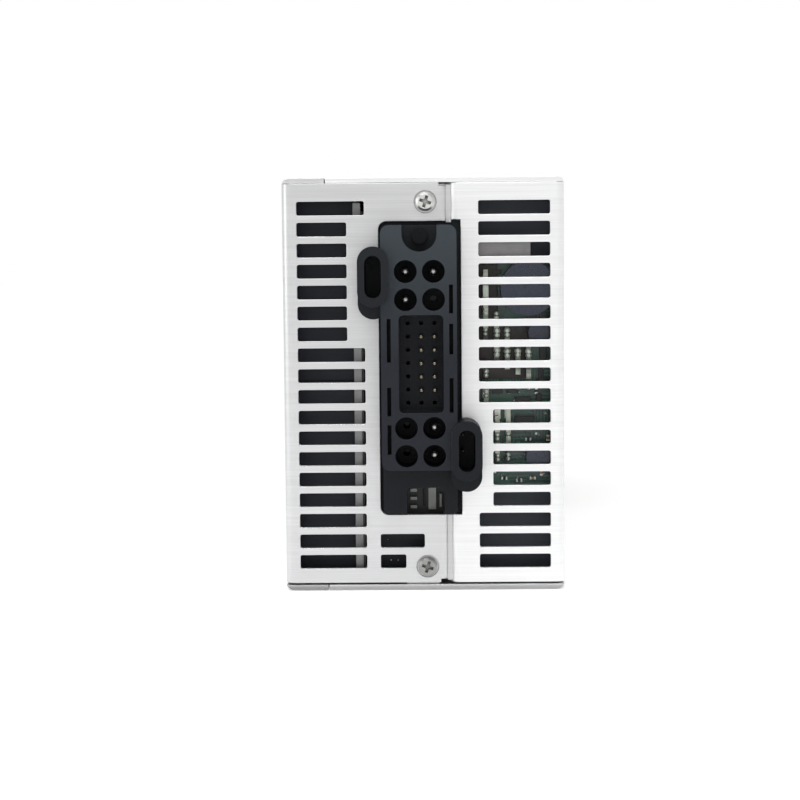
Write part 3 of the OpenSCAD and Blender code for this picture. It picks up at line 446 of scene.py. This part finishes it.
# Painted shade and light: the carrier plate is painted dark for the shade inside the case; its edge strip is
# a lighter copy, painted light where light reaches the edge
MILL_PLATE = plated("mill_plate", (0.13, 0.13, 0.132), 0.5, (0.6, 0.6, 0.6), (0.4, 0.05, 3.0))
PLATE_EDGE = plated("plate_edge", (0.3, 0.3, 0.303), 0.5, (0.6, 0.6, 0.6), (0.4, 0.4, 1.2), shade=0.3)
ANODISED = moulded("black_anodised", (0.02, 0.02, 0.022), 0.38, 0.006, 2.4, 0.08)
FILM = moulded("insulation_film", (0.012, 0.012, 0.014), 0.3, 0.004, 1.6, 0.1)
FERRITE = moulded("coated_ferrite", (0.05, 0.09, 0.07), 0.35, 0.02, 1.5, 0.1, 2.0)
COPPER = wound("enamelled_wire", (0.48, 0.19, 0.06), (0.06, 0.02, 0.01), "Z", 1.1)
TAPE = wound("winding_tape", (0.52, 0.36, 0.06), (0.2, 0.12, 0.02), "Z", 5.5, 0.3)
RELAY_BLUE = moulded("relay_blue", (0.03, 0.06, 0.2), 0.36, 0.008, 1.5)
IVORY = moulded("header_ivory", (0.62, 0.58, 0.46), 0.45, 0.008, 1.2)
NYLON = moulded("black_nylon", (0.014, 0.014, 0.015), 0.45, 0.01, 1.8, 0.08)
BEZEL_GREY = moulded("bezel_grey", (0.036, 0.038, 0.042), 0.46, 0.03, 2.4, 0.16, 3.5)
WINDOW = see_through("smoked_window", (0.30, 0.035, 0.045), 0.04, 0.95)
KEY_GREY = moulded("key_grey", (0.4, 0.415, 0.43), 0.48, 0.012, 1.2, 0.2)
LED_LENS = see_through("led_lens", (0.5, 0.9, 0.5), 0.25, 0.4)
PIPE = see_through("light_pipe", (0.84, 0.9, 0.9), 0.3, 0.35)
NICKEL = plated("nickel_shell", (0.68, 0.67, 0.64), 0.26, (0.6, 0.6, 0.55), (0.3, 0.3, 4))
DIAL_BLUE = moulded("dial_blue", (0.02, 0.06, 0.24), 0.4, 0.006, 1.5)
DIAL_WHITE = moulded("dial_white", (0.72, 0.73, 0.73), 0.42, 0.006, 1.1, 0.25)
FAN_BLACK = moulded("fan_black", (0.017, 0.0175, 0.019), 0.44, 0.014, 2.2, 0.16)
GUARD = plated("guard_wire", (0.72, 0.73, 0.74), 0.24, (0.6, 0.6, 0.6), (2, 2, 2))
BLACK_OXIDE = plated("black_oxide", (0.07, 0.07, 0.072), 0.34, (0.8, 0.8, 0.8), (3, 3, 3), 0.8)
# Painted shade: the connector screws are painted near black so that they read as the shade of their recess
RECESS_SHADE_BLACK = adjusted(plated("recess_shade_black", (0.004, 0.005, 0.0065), 0.65, (0.8, 0.8, 0.8), (3, 3, 3), 0.0),
                      Specular_IOR_Level=0.2)
# Painted shade: the guide contacts are painted dark for the shade inside the ear cavities
SHADED_CONTACT = plated("shaded_contact", (0.09, 0.085, 0.09), 0.42, (0.5, 0.45, 0.5), (3, 3, 3))
# Painted shade: a darker copy of the tinned finish, for the shade on the lugs at the connector's foot
LUG_TIN = plated("lug_tin", (0.2, 0.21, 0.195), 0.4, (0.6, 0.6, 0.58), (2, 2, 0.5), shade=0.8)
LEVER_RED = moulded("lever_red", (0.42, 0.022, 0.014), 0.45, 0.014, 1.5, 0.12, ribs=(49, 60, 1.6, 0.35))
label_lo, label_hi = (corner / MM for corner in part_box("rating_label"))
LABEL_FILM = printed_label("label_film", (0.78, 0.785, 0.785), (0.06, 0.065, 0.075), label_lo[:2],
                           (label_hi - label_lo)[:2])

# Finishes of the detail pieces
HYBRID = moulded("hybrid_brown", (0.028, 0.02, 0.018), 0.4, 0.01, 2.2, 0.15, 6.0)
CERAMIC = moulded("ceramic_tan", (0.3, 0.22, 0.13), 0.4, 0.008, 1.3, 0.15, 6.0)
BRIGHT_TIN = plated("solder", (0.74, 0.76, 0.7), 0.28, (0.5, 0.5, 0.46), (2, 2, 2), 0.9, 0.3)
# Painted shade: dark films put in where the inside of the case lies in shade
NAVY_FILM = moulded("navy_film", (0.027, 0.032, 0.046), 0.5, 0.004, 1.5, 0.05)
DARK_FILM = adjusted(moulded("dark_film", (0.016, 0.019, 0.027), 0.45, 0.004, 1.8, 0.05),
                     Specular_IOR_Level=0.3)
PALE_SOLDER = plated("pale_solder", (0.6, 0.66, 0.58), 0.42, (0.6, 0.62, 0.55), (1.5, 1.5, 1.5), 0.55, 0.4)
SEGMENT_RED = adjusted(moulded("segment_red", (0.6, 0.02, 0.015), 0.3, 0.002, 1.2, 0.0),
                       Emission_Color=(1.0, 0.06, 0.03, 1.0), Emission_Strength=6.0)
SEGMENT_OFF = moulded("segment_off", (0.09, 0.07, 0.07), 0.4, 0.002, 1.2, 0.0)
INK = moulded("key_ink", (0.05, 0.055, 0.06), 0.5, 0.004, 1.4, 0.1, 8.0)
PRINT_WHITE = moulded("panel_ink", (0.66, 0.67, 0.67), 0.5, 0.003, 1.1, 0.1, 8.0)
HUB_FOIL = plated("hub_foil", (0.62, 0.63, 0.64), 0.4, (0.7, 0.7, 0.7), (0.5, 0.5, 0.5), 0.75, 0.2)

FINISHES = {
    "chassis": LEFT_SHEET, "cover": RIGHT_SHEET, "case_screws": CASE_SCREW, "clinch_nuts": ZINC,
    "side_screws": ZINC, "connector_housing": CONNECTOR_BLACK, "power_pins": SILVER,
    "signal_pins": SHADED_SIGNAL_GOLD, "guide_contacts": SHADED_CONTACT, "connector_screws": RECESS_SHADE_BLACK,
    "connector_board": SHADED_REAR_BOARD, "board_chips": CHIP, "board_leads": TIN,
    "board_capacitors": SLEEVE, "bus_bar": BUSBAR, "terminal_lugs": LUG_TIN,
    "carrier_plate": MILL_PLATE, "heat_sink": ANODISED, "insulation_sheet": FILM,
    "power_module": CHIP, "power_board": SIDE_BOARD, "dc_capacitors": SLEEVE,
    "choke_core": FERRITE, "choke_winding": COPPER, "transformer": TAPE, "relays": RELAY_BLUE,
    "board_link": IVORY, "lower_spacers": NYLON, "board_spacers": NYLON, "board_screws": ZINC,
    "control_board": SIDE_BOARD, "processor": CHIP, "control_chips": CHIP,
    "front_bezel": BEZEL_GREY, "operator_board": OPERATOR_BOARD, "display_module": CHIP,
    "display_window": WINDOW, "key_switches": CHIP, "key_up": KEY_GREY, "key_down": KEY_GREY,
    "key_mode": KEY_GREY, "key_set": KEY_GREY, "status_leds": LED_LENS, "light_pipes": PIPE,
    "service_port": NICKEL, "port_contacts": GOLD, "dial_bodies": DIAL_BLUE,
    "dial_tens": DIAL_WHITE, "dial_units": DIAL_WHITE, "fan_frame": FAN_BLACK,
    "fan_rotor": FAN_BLACK, "fan_guard": GUARD, "fan_screws": BLACK_OXIDE, "lever": LEVER_RED,
    "lever_pin": ZINC, "rating_label": LABEL_FILM,
}
for node_name, finish in FINISHES.items():
    mesh = NODES[node_name].data
    mesh.materials.clear()
    mesh.materials.append(finish)


# ---------------------------------------------------------------- detail pieces

class Shape:
    """One mesh made of boxes, rods and outlines, laid out in millimetres: x, depth from the rear
    panel, and height."""

    def __init__(self):
        self.made = bmesh.new()

    def block(self, lo, hi):
        """Box between two corners."""
        size = Vector(hi) - Vector(lo)
        middle = (Vector(hi) + Vector(lo)) / 2
        verts = bmesh.ops.create_cube(self.made, size=1)["verts"]
        place = Matrix.Translation(middle) @ Matrix.Diagonal((*size, 1))
        bmesh.ops.transform(self.made, verts=verts, matrix=place)

    def rod(self, x, z, radius, start, end, sides=20, tip=None):
        """Round bar along the depth; tip is the radius at its end."""
        verts = bmesh.ops.create_cone(self.made, cap_ends=True, segments=sides, radius1=radius,
                                      radius2=radius if tip is None else tip, depth=abs(end - start))["verts"]
        turn = Matrix.Rotation(math.radians(-90 if end > start else 90), 4, "X")
        place = Matrix.Translation((x, (start + end) / 2, z)) @ turn
        bmesh.ops.transform(self.made, verts=verts, matrix=place)

    def prism(self, outline, start, end):
        """Outline in x and z, drawn out along the depth."""
        near = [self.made.verts.new((x, start, z)) for x, z in outline]
        face = self.made.faces.new(near)
        drawn = bmesh.ops.extrude_face_region(self.made, geom=[face])["geom"]
        moved = [v for v in drawn if isinstance(v, bmesh.types.BMVert)]
        bmesh.ops.translate(self.made, verts=moved, vec=(0, end - start, 0))

    def piece(self, name, finish, slot, body="case", bevel=0.08):
        """Ends the shape as a scene object that rides on a body."""
        bmesh.ops.transform(self.made, verts=self.made.verts,
                            matrix=Matrix.Translation((0, REAR_Y, 0)) @ Matrix.Scale(MM, 4))
        bmesh.ops.recalc_face_normals(self.made, faces=self.made.faces)
        mesh = bpy.data.meshes.new(name)
        self.made.to_mesh(mesh)
        self.made.free()
        mesh.shade_smooth()
        mesh.set_sharp_from_angle(angle=math.radians(35))
        mesh.materials.append(finish)
        obj = bpy.data.objects.new(name, mesh)
        bpy.context.scene.collection.objects.link(obj)
        if bevel:
            soft = obj.modifiers.new("soft_edges", "BEVEL")
            soft.width = bevel * MM
            soft.segments = 2
            soft.limit_method = "ANGLE"
        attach(obj, body)


def depth_of(node, far):
    """Depth of a node's near or far side from the rear panel, in millimetres."""
    return (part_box(node)[1 if far else 0].y - REAR_Y) / MM


def middle_of(node):
    """Middle of a node's box, in millimetres."""
    lo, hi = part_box(node)
    return (lo + hi) / 2 / MM


# Faces that the pieces lie on: the rear board, and the front panel with its window
BOARD = depth_of("connector_board", False)
FRONT = depth_of("display_window", True)
SLOT_TOP, SLOT_PITCH, SLOT_ROWS = 110.3, 6.0, 18
DIALS = ("dial_tens", "dial_units")
# Heights of the three status lights
LIGHT_HEIGHTS = (95, 101, 107)
# Distance between the leads that stand in a row on the rear board
LEAD_PITCH = 3.2


def row_z(row):
    """Height of a slot row's middle."""
    return SLOT_TOP - SLOT_PITCH * (row - 1)


def hybrid_bodies():
    """Hybrid circuits behind the right-hand slots, with the row of moulded feet on the large one."""
    hybrids = Shape()
    height = 0.9
    for (left, foot), (right, top) in (((16.2, 60.6), (31.4, 77.6)), ((15.4, 79.2), (21.6, 94.0)),
                                       ((32.6, 58.0), (36.8, 60.6))):
        hybrids.block((left, BOARD - height, foot), (right, BOARD, top))
    for i in range(5):
        x = 17.4 + LEAD_PITCH * i
        hybrids.block((x - 1.1, BOARD - 1.9, 65.4), (x + 1.1, BOARD - 0.8, 66.2))
    hybrids.piece("hybrid_bodies", HYBRID, "chip_black", bevel=0.15)


def chip_passives():
    """Small two-ended parts, scattered over the free stretches of the board that show in the slots."""
    # Left, right, foot and top of what is already taken: hybrids, chips, capacitors and rows of leads
    taken = [(16.0, 38.0, 59.0, 95.0), (26.6, 32.2, 45.2, 49.8), (26.3, 31.3, 51.7, 55.5),
             (16.3, 19.0, 41.0, 45.0), (29.0, 37.2, 34.8, 41.2), (17.0, 19.0, 51.0, 61.0),
             (23.4, 25.4, 40.0, 54.5), (20.2, 22.2, 38.0, 51.0)]
    ceramic, film, ends = Shape(), Shape(), Shape()
    length, width, room = 1.6, 0.85, 1.5
    # The solder ends reach past the body and stand a little above it
    body_height, end_height, under_body = 0.75, 0.82, 0.05
    end_half, end_rim, end_reach = 0.28, 0.06, length / 2 + 0.12
    ceramic_share = 0.45

    def passive(x, z, upright):
        body = ceramic if scatter.random() < ceramic_share else film
        half = (width / 2, length / 2) if upright else (length / 2, width / 2)
        body.block((x - half[0], BOARD - body_height, z - half[1]),
                   (x + half[0], BOARD - under_body, z + half[1]))
        for along in (end_half - end_reach, end_reach - end_half):
            end_x, end_z = (x, z + along) if upright else (x + along, z)
            half = (width / 2 + end_rim, end_half) if upright else (end_half, width / 2 + end_rim)
            ends.block((end_x - half[0], BOARD - end_height, end_z - half[1]),
                       (end_x + half[0], BOARD, end_z + half[1]))

    # Only these rows of slots look onto bare board
    first_row, last_row, tries = 9, 14, 10
    for row in range(first_row, last_row + 1):
        for _ in range(tries):
            x = scatter.uniform(16.6, 37.0)
            z = row_z(row) + scatter.uniform(-1.7, 1.7)
            upright = scatter.random() < 0.5
            if any(l - room < x < r + room and b - room < z < t + room for l, r, b, t in taken):
                continue
            passive(x, z, upright)
            taken.append((x - 0.9, x + 0.9, z - 0.9, z + 0.9))
    ceramic.piece("ceramic_capacitors", CERAMIC, "capacitor_sleeve", bevel=0.1)
    film.piece("chip_resistors", CHIP, "chip_black", bevel=0.06)
    ends.piece("solder_ends", BRIGHT_TIN, "lead_tin", bevel=0.12)


def solder_joints():
    """Round solder joints, and the pads that the upright leads stand on."""
    joints = Shape()
    joint_height, pad_height, pad_half = 0.55, 0.35, 0.95
    for x, z, radius in ((27.4, 72.0, 0.6), (27.2, 47.5, 0.65), (30.8, 57.6, 0.75), (27.7, 56.6, 0.55),
                         (24.7, 56.4, 0.45), (21.7, 44.6, 0.7), (24.7, 44.2, 0.7), (21.8, 37.0, 0.55),
                         (24.8, 36.9, 0.6), (28.2, 37.6, 0.35), (29.4, 38.3, 0.35), (30.4, 37.2, 0.35),
                         (33.6, 44.0, 0.5), (35.4, 50.4, 0.5), (16.9, 33.0, 0.45), (22.5, 32.2, 0.45),
                         (27.3, 31.4, 0.4), (34.8, 32.6, 0.45), (-10.1, 7.3, 0.55), (-8.0, 7.2, 0.55),
                         (-11.0, 13.4, 0.3)):
        joints.rod(x, z, radius, BOARD, BOARD - joint_height, 18, radius * 0.35)
    for x, foot, top in ((18.0, 60.9, 63.8), (18.0, 54.8, 57.6), (21.4, 48.8, 51.6), (24.4, 49.0, 51.8)):
        joints.block((x - pad_half, BOARD - pad_height, foot), (x + pad_half, BOARD, top))
    joints.piece("solder_joints", BRIGHT_TIN, "lead_tin", bevel=0.1)


def lead_solder():
    """Solder that was left standing on the leads of the hybrids, as pairs of drops."""
    blobs = Shape()
    lead_face = BOARD - 3.6
    blobs.block((17.1, lead_face - 0.75, 84.2), (18.9, lead_face, 88.0))
    for x, z, radius in ((17.9, 80.6, 0.95), (21.1, 79.2, 0.8), (17.9, 74.6, 0.85), (21.2, 74.2, 1.1),
                         (24.2, 74.3, 1.05), (21.2, 68.6, 1.15), (24.2, 68.3, 1.1), (27.3, 68.4, 1.1),
                         (30.4, 68.2, 1.1), (18.0, 62.5, 0.95), (18.0, 56.6, 0.95), (21.2, 44.0, 0.9),
                         (24.4, 44.4, 0.9), (21.3, 38.0, 0.85), (24.4, 38.2, 0.8)):
        blobs.rod(x, z + 0.5, radius, lead_face, lead_face - 0.9, 20, radius * 0.45)
        blobs.rod(x, z - 0.7, radius * 0.9, lead_face, lead_face - 0.8, 20, radius * 0.4)
    blobs.piece("lead_solder", PALE_SOLDER, "lead_tin", bevel=0.18)


def seam_strip():
    """Joggled edge of the chassis panel that lies behind the seam, with its step at the notches."""
    # The seam's middle across, and the depths between which the joggled edge lies
    seam, near, far = 7.25, 0.72, 1.3
    strip = Shape()
    strip.block((seam - 0.85, near, 2.6), (seam + 0.85, far, 22.2))
    strip.block((seam - 0.85, near, 106.0), (seam + 0.85, far, 117.0))
    strip.block((seam - 3.2, 1.75, 115.0), (seam + 0.9, 2.2, 117.2))
    strip.piece("seam_strip", SEAM_SHEET, "case_sheet", bevel=0.25)


def plate_edge():
    """Sheared edge of the carrier plate behind the left-hand slots, with a pip in each row, in a lighter copy
    of the plate's finish: painted light on the edge.
    """
    left, right, near, far = -20.3, -18.0, 4.5, 4.95
    edge = Shape()
    edge.block((left, near, 2.2), (right, far, 112.0))
    for row in range(1, SLOT_ROWS + 1):
        edge.rod(-19.1, row_z(row) + 2.6, 0.5, near + 0.05, near - 0.15, 16)
    edge.piece("plate_edge", PLATE_EDGE, "plate_metal", bevel=0.12)


def left_films():
    """Dark film behind the left-hand slots with its fold, and the one at the board's foot: sheets put in as
    painted shade inside the case.
    """
    films = Shape()
    left, right, near = -38.3, -20.4, 10.2
    films.block((left, near, 1.8), (right, near + 0.4, 116.6))
    films.block((left, near, 60.0), (right, near + 0.55, 60.5))
    films.block((-14.8, BOARD - 0.5, 5.3), (5.0, BOARD - 0.03, 19.8))
    films.piece("left_films", DARK_FILM, "liner_black", bevel=0.12)


def inner_films():
    """Dark films that close the view past the board's top and bottom edges, with their folds: sheets put in
    as painted shade.
    """
    films = Shape()
    right, near, film, fold = 38.5, 12.0, 0.4, 1.6
    top_left, top_foot = 14.9, 95.2
    foot_left, foot_top = 5.2, 28.4
    films.block((top_left, near, top_foot), (right, near + film, 116.6))
    films.block((foot_left, near, 2.2), (right, near + film, foot_top))
    films.block((top_left, near, top_foot - film), (right, near + fold, top_foot))
    films.block((foot_left, near, foot_top), (right, near + fold, foot_top + film))
    films.piece("inner_films", NAVY_FILM, "liner_black", bevel=0.12)


def terminal_block():
    """Black base under the earth lugs at the connector's foot, with ribs between them; its lower part is a
    dark fill, put in as painted shade so that no board shows there.
    """
    block = Shape()
    block.block((-9.6, BOARD - 0.9, 20.2), (7.8, BOARD - 0.02, 34.6))
    rib_half = 0.25
    for x in (-5.6, -0.2, 2.0, 6.6):
        block.block((x - rib_half, BOARD - 1.5, 23.4), (x + rib_half, BOARD - 0.8, 31.0))
    block.piece("terminal_block", NYLON, "spacer_black", bevel=0.15)


def display_digits():
    """Four seven-segment figures that read zero, behind the smoked window."""
    # Across and height of each segment, in halves of the figure; from the front, X runs to the left
    segments = {"a": (0, 1), "b": (1, 1), "c": (1, -1), "d": (0, -1), "e": (-1, -1), "f": (-1, 1),
                "g": (0, 0)}
    window = middle_of("display_window")
    face = depth_of("display_module", True)
    raised = face + 0.12
    half_w, half_h, bar, figure_pitch, lean = 2.3, 3.7, 0.42, 8.6, 0.14
    lit, dark = Shape(), Shape()
    for i in range(4):
        centre = window.x - (i - 1.5) * figure_pitch
        for name, (across, up) in segments.items():
            x = centre + across * half_w
            if across:
                z = window.z + up * half_h / 2
                foot, top = z - half_h / 2, z + half_h / 2
                outline = [(x - bar, foot + 0.5), (x, foot + 0.1), (x + bar, foot + 0.5),
                           (x + bar, top - 0.5), (x, top - 0.1), (x - bar, top - 0.5)]
            else:
                z = window.z + up * half_h
                left, right = x - half_w, x + half_w
                outline = [(left + 0.3, z), (left + 0.7, z - bar), (right - 0.7, z - bar),
                           (right - 0.3, z), (right - 0.7, z + bar), (left + 0.7, z + bar)]
            # The figures lean to the right as seen from the front, which is towards -X
            leaning = [(point_x - lean * (point_z - window.z), point_z) for point_x, point_z in outline]
            (dark if name == "g" else lit).prism(leaning, face, raised)
        if i == 1:
            lit.rod(centre + half_w + 1.9, window.z - half_h, 0.45, face, raised, 16)
    lit.piece("display_segments", SEGMENT_RED, "window_smoke", bevel=0)
    dark.piece("display_segments_off", SEGMENT_OFF, "window_smoke", bevel=0)


def key_marks():
    """Raised arrows, ring and square on the four keys."""
    face = depth_of("key_up", True)
    low, high = face - 0.02, face + 0.14
    for key in ("key_up", "key_down", "key_mode", "key_set"):
        mark = Shape()
        middle = middle_of(key)
        x, z = middle.x, middle.z
        if key == "key_up":
            mark.prism([(x - 1.9, z - 1.3), (x + 1.9, z - 1.3), (x, z + 1.9)], low, high)
        elif key == "key_down":
            mark.prism([(x - 1.9, z + 1.3), (x + 1.9, z + 1.3), (x, z - 1.9)], low, high)
        elif key == "key_mode":
            sides, inner, outer = 40, 1.3, 1.9
            turns = [2 * math.pi * i / sides for i in range(sides)]
            for a, b in zip(turns, turns[1:] + turns[:1]):
                corners = ((inner, a), (outer, a), (outer, b), (inner, b))
                mark.prism([(x + r * math.cos(t), z + r * math.sin(t)) for r, t in corners], low, high)
        else:
            mark.block((x - 1.4, low, z - 1.4), (x + 1.4, high, z + 1.4))
        mark.piece(key + "_mark", INK, "bezel_plastic", key + "_body", bevel=0.05)


def dial_turn(figure):
    """Angle of a figure on a dial's scale: zero is at the top, and they run clockwise from the front."""
    return math.radians(90 + 36 * figure)


def panel_print():
    """Ticks round the two dials, a frame line round the operator panel and a dash for each light."""
    marks = Shape()
    raised = FRONT + 0.03
    tick_inner, tick_outer, tick_half = 4.4, 4.72, 0.07
    for dial in DIALS:
        middle = middle_of(dial)
        for figure in range(10):
            c, s = math.cos(dial_turn(figure)), math.sin(dial_turn(figure))
            corners = ((tick_inner, -tick_half), (tick_inner, tick_half),
                       (tick_outer, tick_half), (tick_outer, -tick_half))
            outline = [(middle.x + r * c + w * s, middle.z + r * s - w * c) for r, w in corners]
            marks.prism(outline, FRONT, raised)
    edge, foot, top, split, line = 37.6, 72.6, 88.5, 9.6, 0.3
    for lo, hi in (((-edge, foot), (edge, foot + line)), ((-edge, top - line), (edge, top)),
                   ((-edge, foot), (line - edge, top)), ((edge - line, foot), (edge, top)),
                   ((split, foot), (split + line, top))):
        marks.block((lo[0], FRONT, lo[1]), (hi[0], raised, hi[1]))
    for z in LIGHT_HEIGHTS:
        marks.block((15.2, FRONT, z - 0.12), (17.6, raised, z + 0.12))
    marks.piece("panel_print", PRINT_WHITE, "label_white", bevel=0)


def dial_figures():
    """The even figures round each dial, seen from the front."""
    curve = bpy.data.curves.new("figure", "FONT")
    curve.align_x, curve.align_y = "CENTER", "CENTER"
    curve.size = 1.3
    curve.extrude = 0.015
    curve.offset = 0.01
    curve.resolution_u = 3
    holder = bpy.data.objects.new("figure", curve)
    bpy.context.scene.collection.objects.link(holder)
    figures = Shape()
    circle = 5.35
    # Stands the flat figure up, facing away from the rear panel
    upright = Matrix.Rotation(math.pi, 4, "Z") @ Matrix.Rotation(math.pi / 2, 4, "X")
    for dial in DIALS:
        middle = middle_of(dial)
        for figure in range(0, 10, 2):
            turn = dial_turn(figure)
            curve.body = str(figure)
            bpy.context.view_layer.update()
            outlined = holder.evaluated_get(bpy.context.evaluated_depsgraph_get())
            mesh = bpy.data.meshes.new_from_object(outlined)
            place = (middle.x + circle * math.cos(turn), FRONT + 0.02, middle.z + circle * math.sin(turn))
            mesh.transform(Matrix.Translation(place) @ upright)
            figures.made.from_mesh(mesh)
            bpy.data.meshes.remove(mesh)
    bpy.data.objects.remove(holder)
    figures.piece("dial_figures", PRINT_WHITE, "label_white", bevel=0)


def fan_hub_sticker():
    """Blank round sticker on the fan's hub, with a sloping rim."""
    middle = middle_of("fan_rotor")
    front = depth_of("fan_rotor", True)
    disc = Shape()
    disc.rod(middle.x, middle.z, 10.4, front - 0.05, front + 0.1, 64, 10.3)
    disc.piece("fan_hub_sticker", HUB_FOIL, "label_white", "fan_rotor_body", bevel=0.03)


def operator_header():
    """Two-row pin header on the operator board's back."""
    board = depth_of("operator_board", False)
    pin_pitch, rows = 2.54, (91.3, 93.8)
    header = Shape()
    header.block((-20, board - 5.6, 90), (6, board, 95))
    for i in range(10):
        for z in rows:
            header.rod(-18.4 + i * pin_pitch, z, 0.32, board - 7.2, board - 0.5, 12)
    header.piece("operator_header", NYLON, "spacer_black", bevel=0.15)


hybrid_bodies()
chip_passives()
solder_joints()
lead_solder()
seam_strip()
plate_edge()
left_films()
inner_films()
terminal_block()
display_digits()
key_marks()
panel_print()
dial_figures()
fan_hub_sticker()
operator_header()


# ---------------------------------------------------------------- floor, light and camera

def area_light(name, place, target, size, power):
    """Rectangular softbox that shines at a target; places are in metres and power in watts."""
    data = bpy.data.lights.new(name, "AREA")
    data.shape = "RECTANGLE"
    data.size, data.size_y = size
    data.energy = power
    light = bpy.data.objects.new(name, data)
    bpy.context.scene.collection.objects.link(light)
    light.location = place
    light.visible_camera = False
    light.rotation_mode = "QUATERNION"
    light.rotation_quaternion = (Vector(target) - Vector(place)).to_track_quat("-Z", "Y")


def pale_floor():
    """A wide round floor that runs out level to the horizon."""
    made = bmesh.new()
    floor_radius, below_object = 9.0, 0.0002
    bmesh.ops.create_circle(made, cap_ends=True, segments=96, radius=floor_radius)
    mesh = bpy.data.meshes.new("floor")
    made.to_mesh(mesh)
    made.free()
    floor = bpy.data.objects.new("floor", mesh)
    bpy.context.scene.collection.objects.link(floor)
    f = Finish("floor_paint")
    cloud = f.spread(f.noise(0.004, 3, 0.5), 0, 1)
    f.set(Base_Color=f.mix(cloud, (0.9, 0.9, 0.9), (0.94, 0.94, 0.94)))
    f.set(Roughness=0.85, Specular_IOR_Level=0.0)
    # Away from the lamps the paint is lighter, so that the floor meets the backdrop without a band
    reach = f.node("ShaderNodeVectorMath", operation="LENGTH")
    f.put(reach.inputs[0], f.mm)
    glow = f.remap(reach.outputs["Value"], 350, 1600, 0.34, 0.56)
    f.set(Emission_Color=(1.0, 1.0, 1.0), Emission_Strength=glow)
    mesh.materials.append(f.material)
    floor.location = (0, 0, cad_lo.z - below_object)


def studio_world():
    """White backdrop that lights the object less from overhead, so that the top wall keeps its tone."""
    world = bpy.data.worlds.new("studio")
    bpy.context.scene.world = world
    world.use_nodes = True
    nodes, links = world.node_tree.nodes, world.node_tree.links
    sky = nodes["Background"]
    sky.inputs["Color"].default_value = (1.0, 1.0, 1.0, 1.0)
    place = nodes.new("ShaderNodeTexCoord")
    height = nodes.new("ShaderNodeSeparateXYZ")
    ramp = nodes.new("ShaderNodeMapRange")
    # From this height of the view direction to that one, the light falls from 0.85 to 0.36
    for socket, value in zip(list(ramp.inputs)[1:5], (0.2, 0.9, 0.85, 0.36)):
        socket.default_value = value
    # The plain white backdrop itself is brighter than the light it gives
    seen = nodes.new("ShaderNodeLightPath")
    brighter = nodes.new("ShaderNodeMath")
    brighter.operation = "MAXIMUM"
    links.new(place.outputs["Generated"], height.inputs[0])
    links.new(height.outputs["Z"], ramp.inputs[0])
    links.new(ramp.outputs[0], brighter.inputs[0])
    links.new(seen.outputs["Is Camera Ray"], brighter.inputs[1])
    links.new(brighter.outputs[0], sky.inputs["Strength"])


def photo_camera():
    """Camera at the photo's angle: a little above the rear panel's middle, nearly square to it."""
    data = bpy.data.cameras.new("camera")
    camera = bpy.data.objects.new("camera", data)
    bpy.context.scene.collection.objects.link(camera)
    bpy.context.scene.camera = camera
    data.sensor_width = 36
    data.lens = 81.45
    data.clip_start, data.clip_end = 0.02, 40
    data.dof.use_dof = False
    to_the_side, distance, height = 0.0002, 0.52, 0.0945
    camera.location = (to_the_side, REAR_Y - distance, height)
    yaw, pitch, roll = (math.radians(angle) for angle in (-0.79, 4.32, -0.49))
    ahead = Vector((math.sin(yaw) * math.cos(pitch), math.cos(yaw) * math.cos(pitch), -math.sin(pitch)))
    level = Vector((math.cos(yaw), -math.sin(yaw), 0))
    upright = level.cross(ahead)
    right = math.cos(roll) * level + math.sin(roll) * upright
    up = math.cos(roll) * upright - math.sin(roll) * level
    camera.rotation_mode = "QUATERNION"
    camera.rotation_quaternion = Matrix((right, up, -ahead)).transposed().to_quaternion()


pale_floor()
studio_world()
area_light("key_softbox", (-0.06, -0.34, 0.6), (0, -0.1, 0.08), (0.5, 0.2), 2.2)
area_light("left_softbox", (-0.85, -0.3, 0.3), (-0.04, -0.05, 0.06), (0.3, 0.5), 1.1)
area_light("rear_softbox", (0.5, 0.9, 0.9), (0, 0.05, 0.06), (0.8, 0.6), 1.2)
photo_camera()
bpy.context.scene.view_settings.view_transform = "Standard"
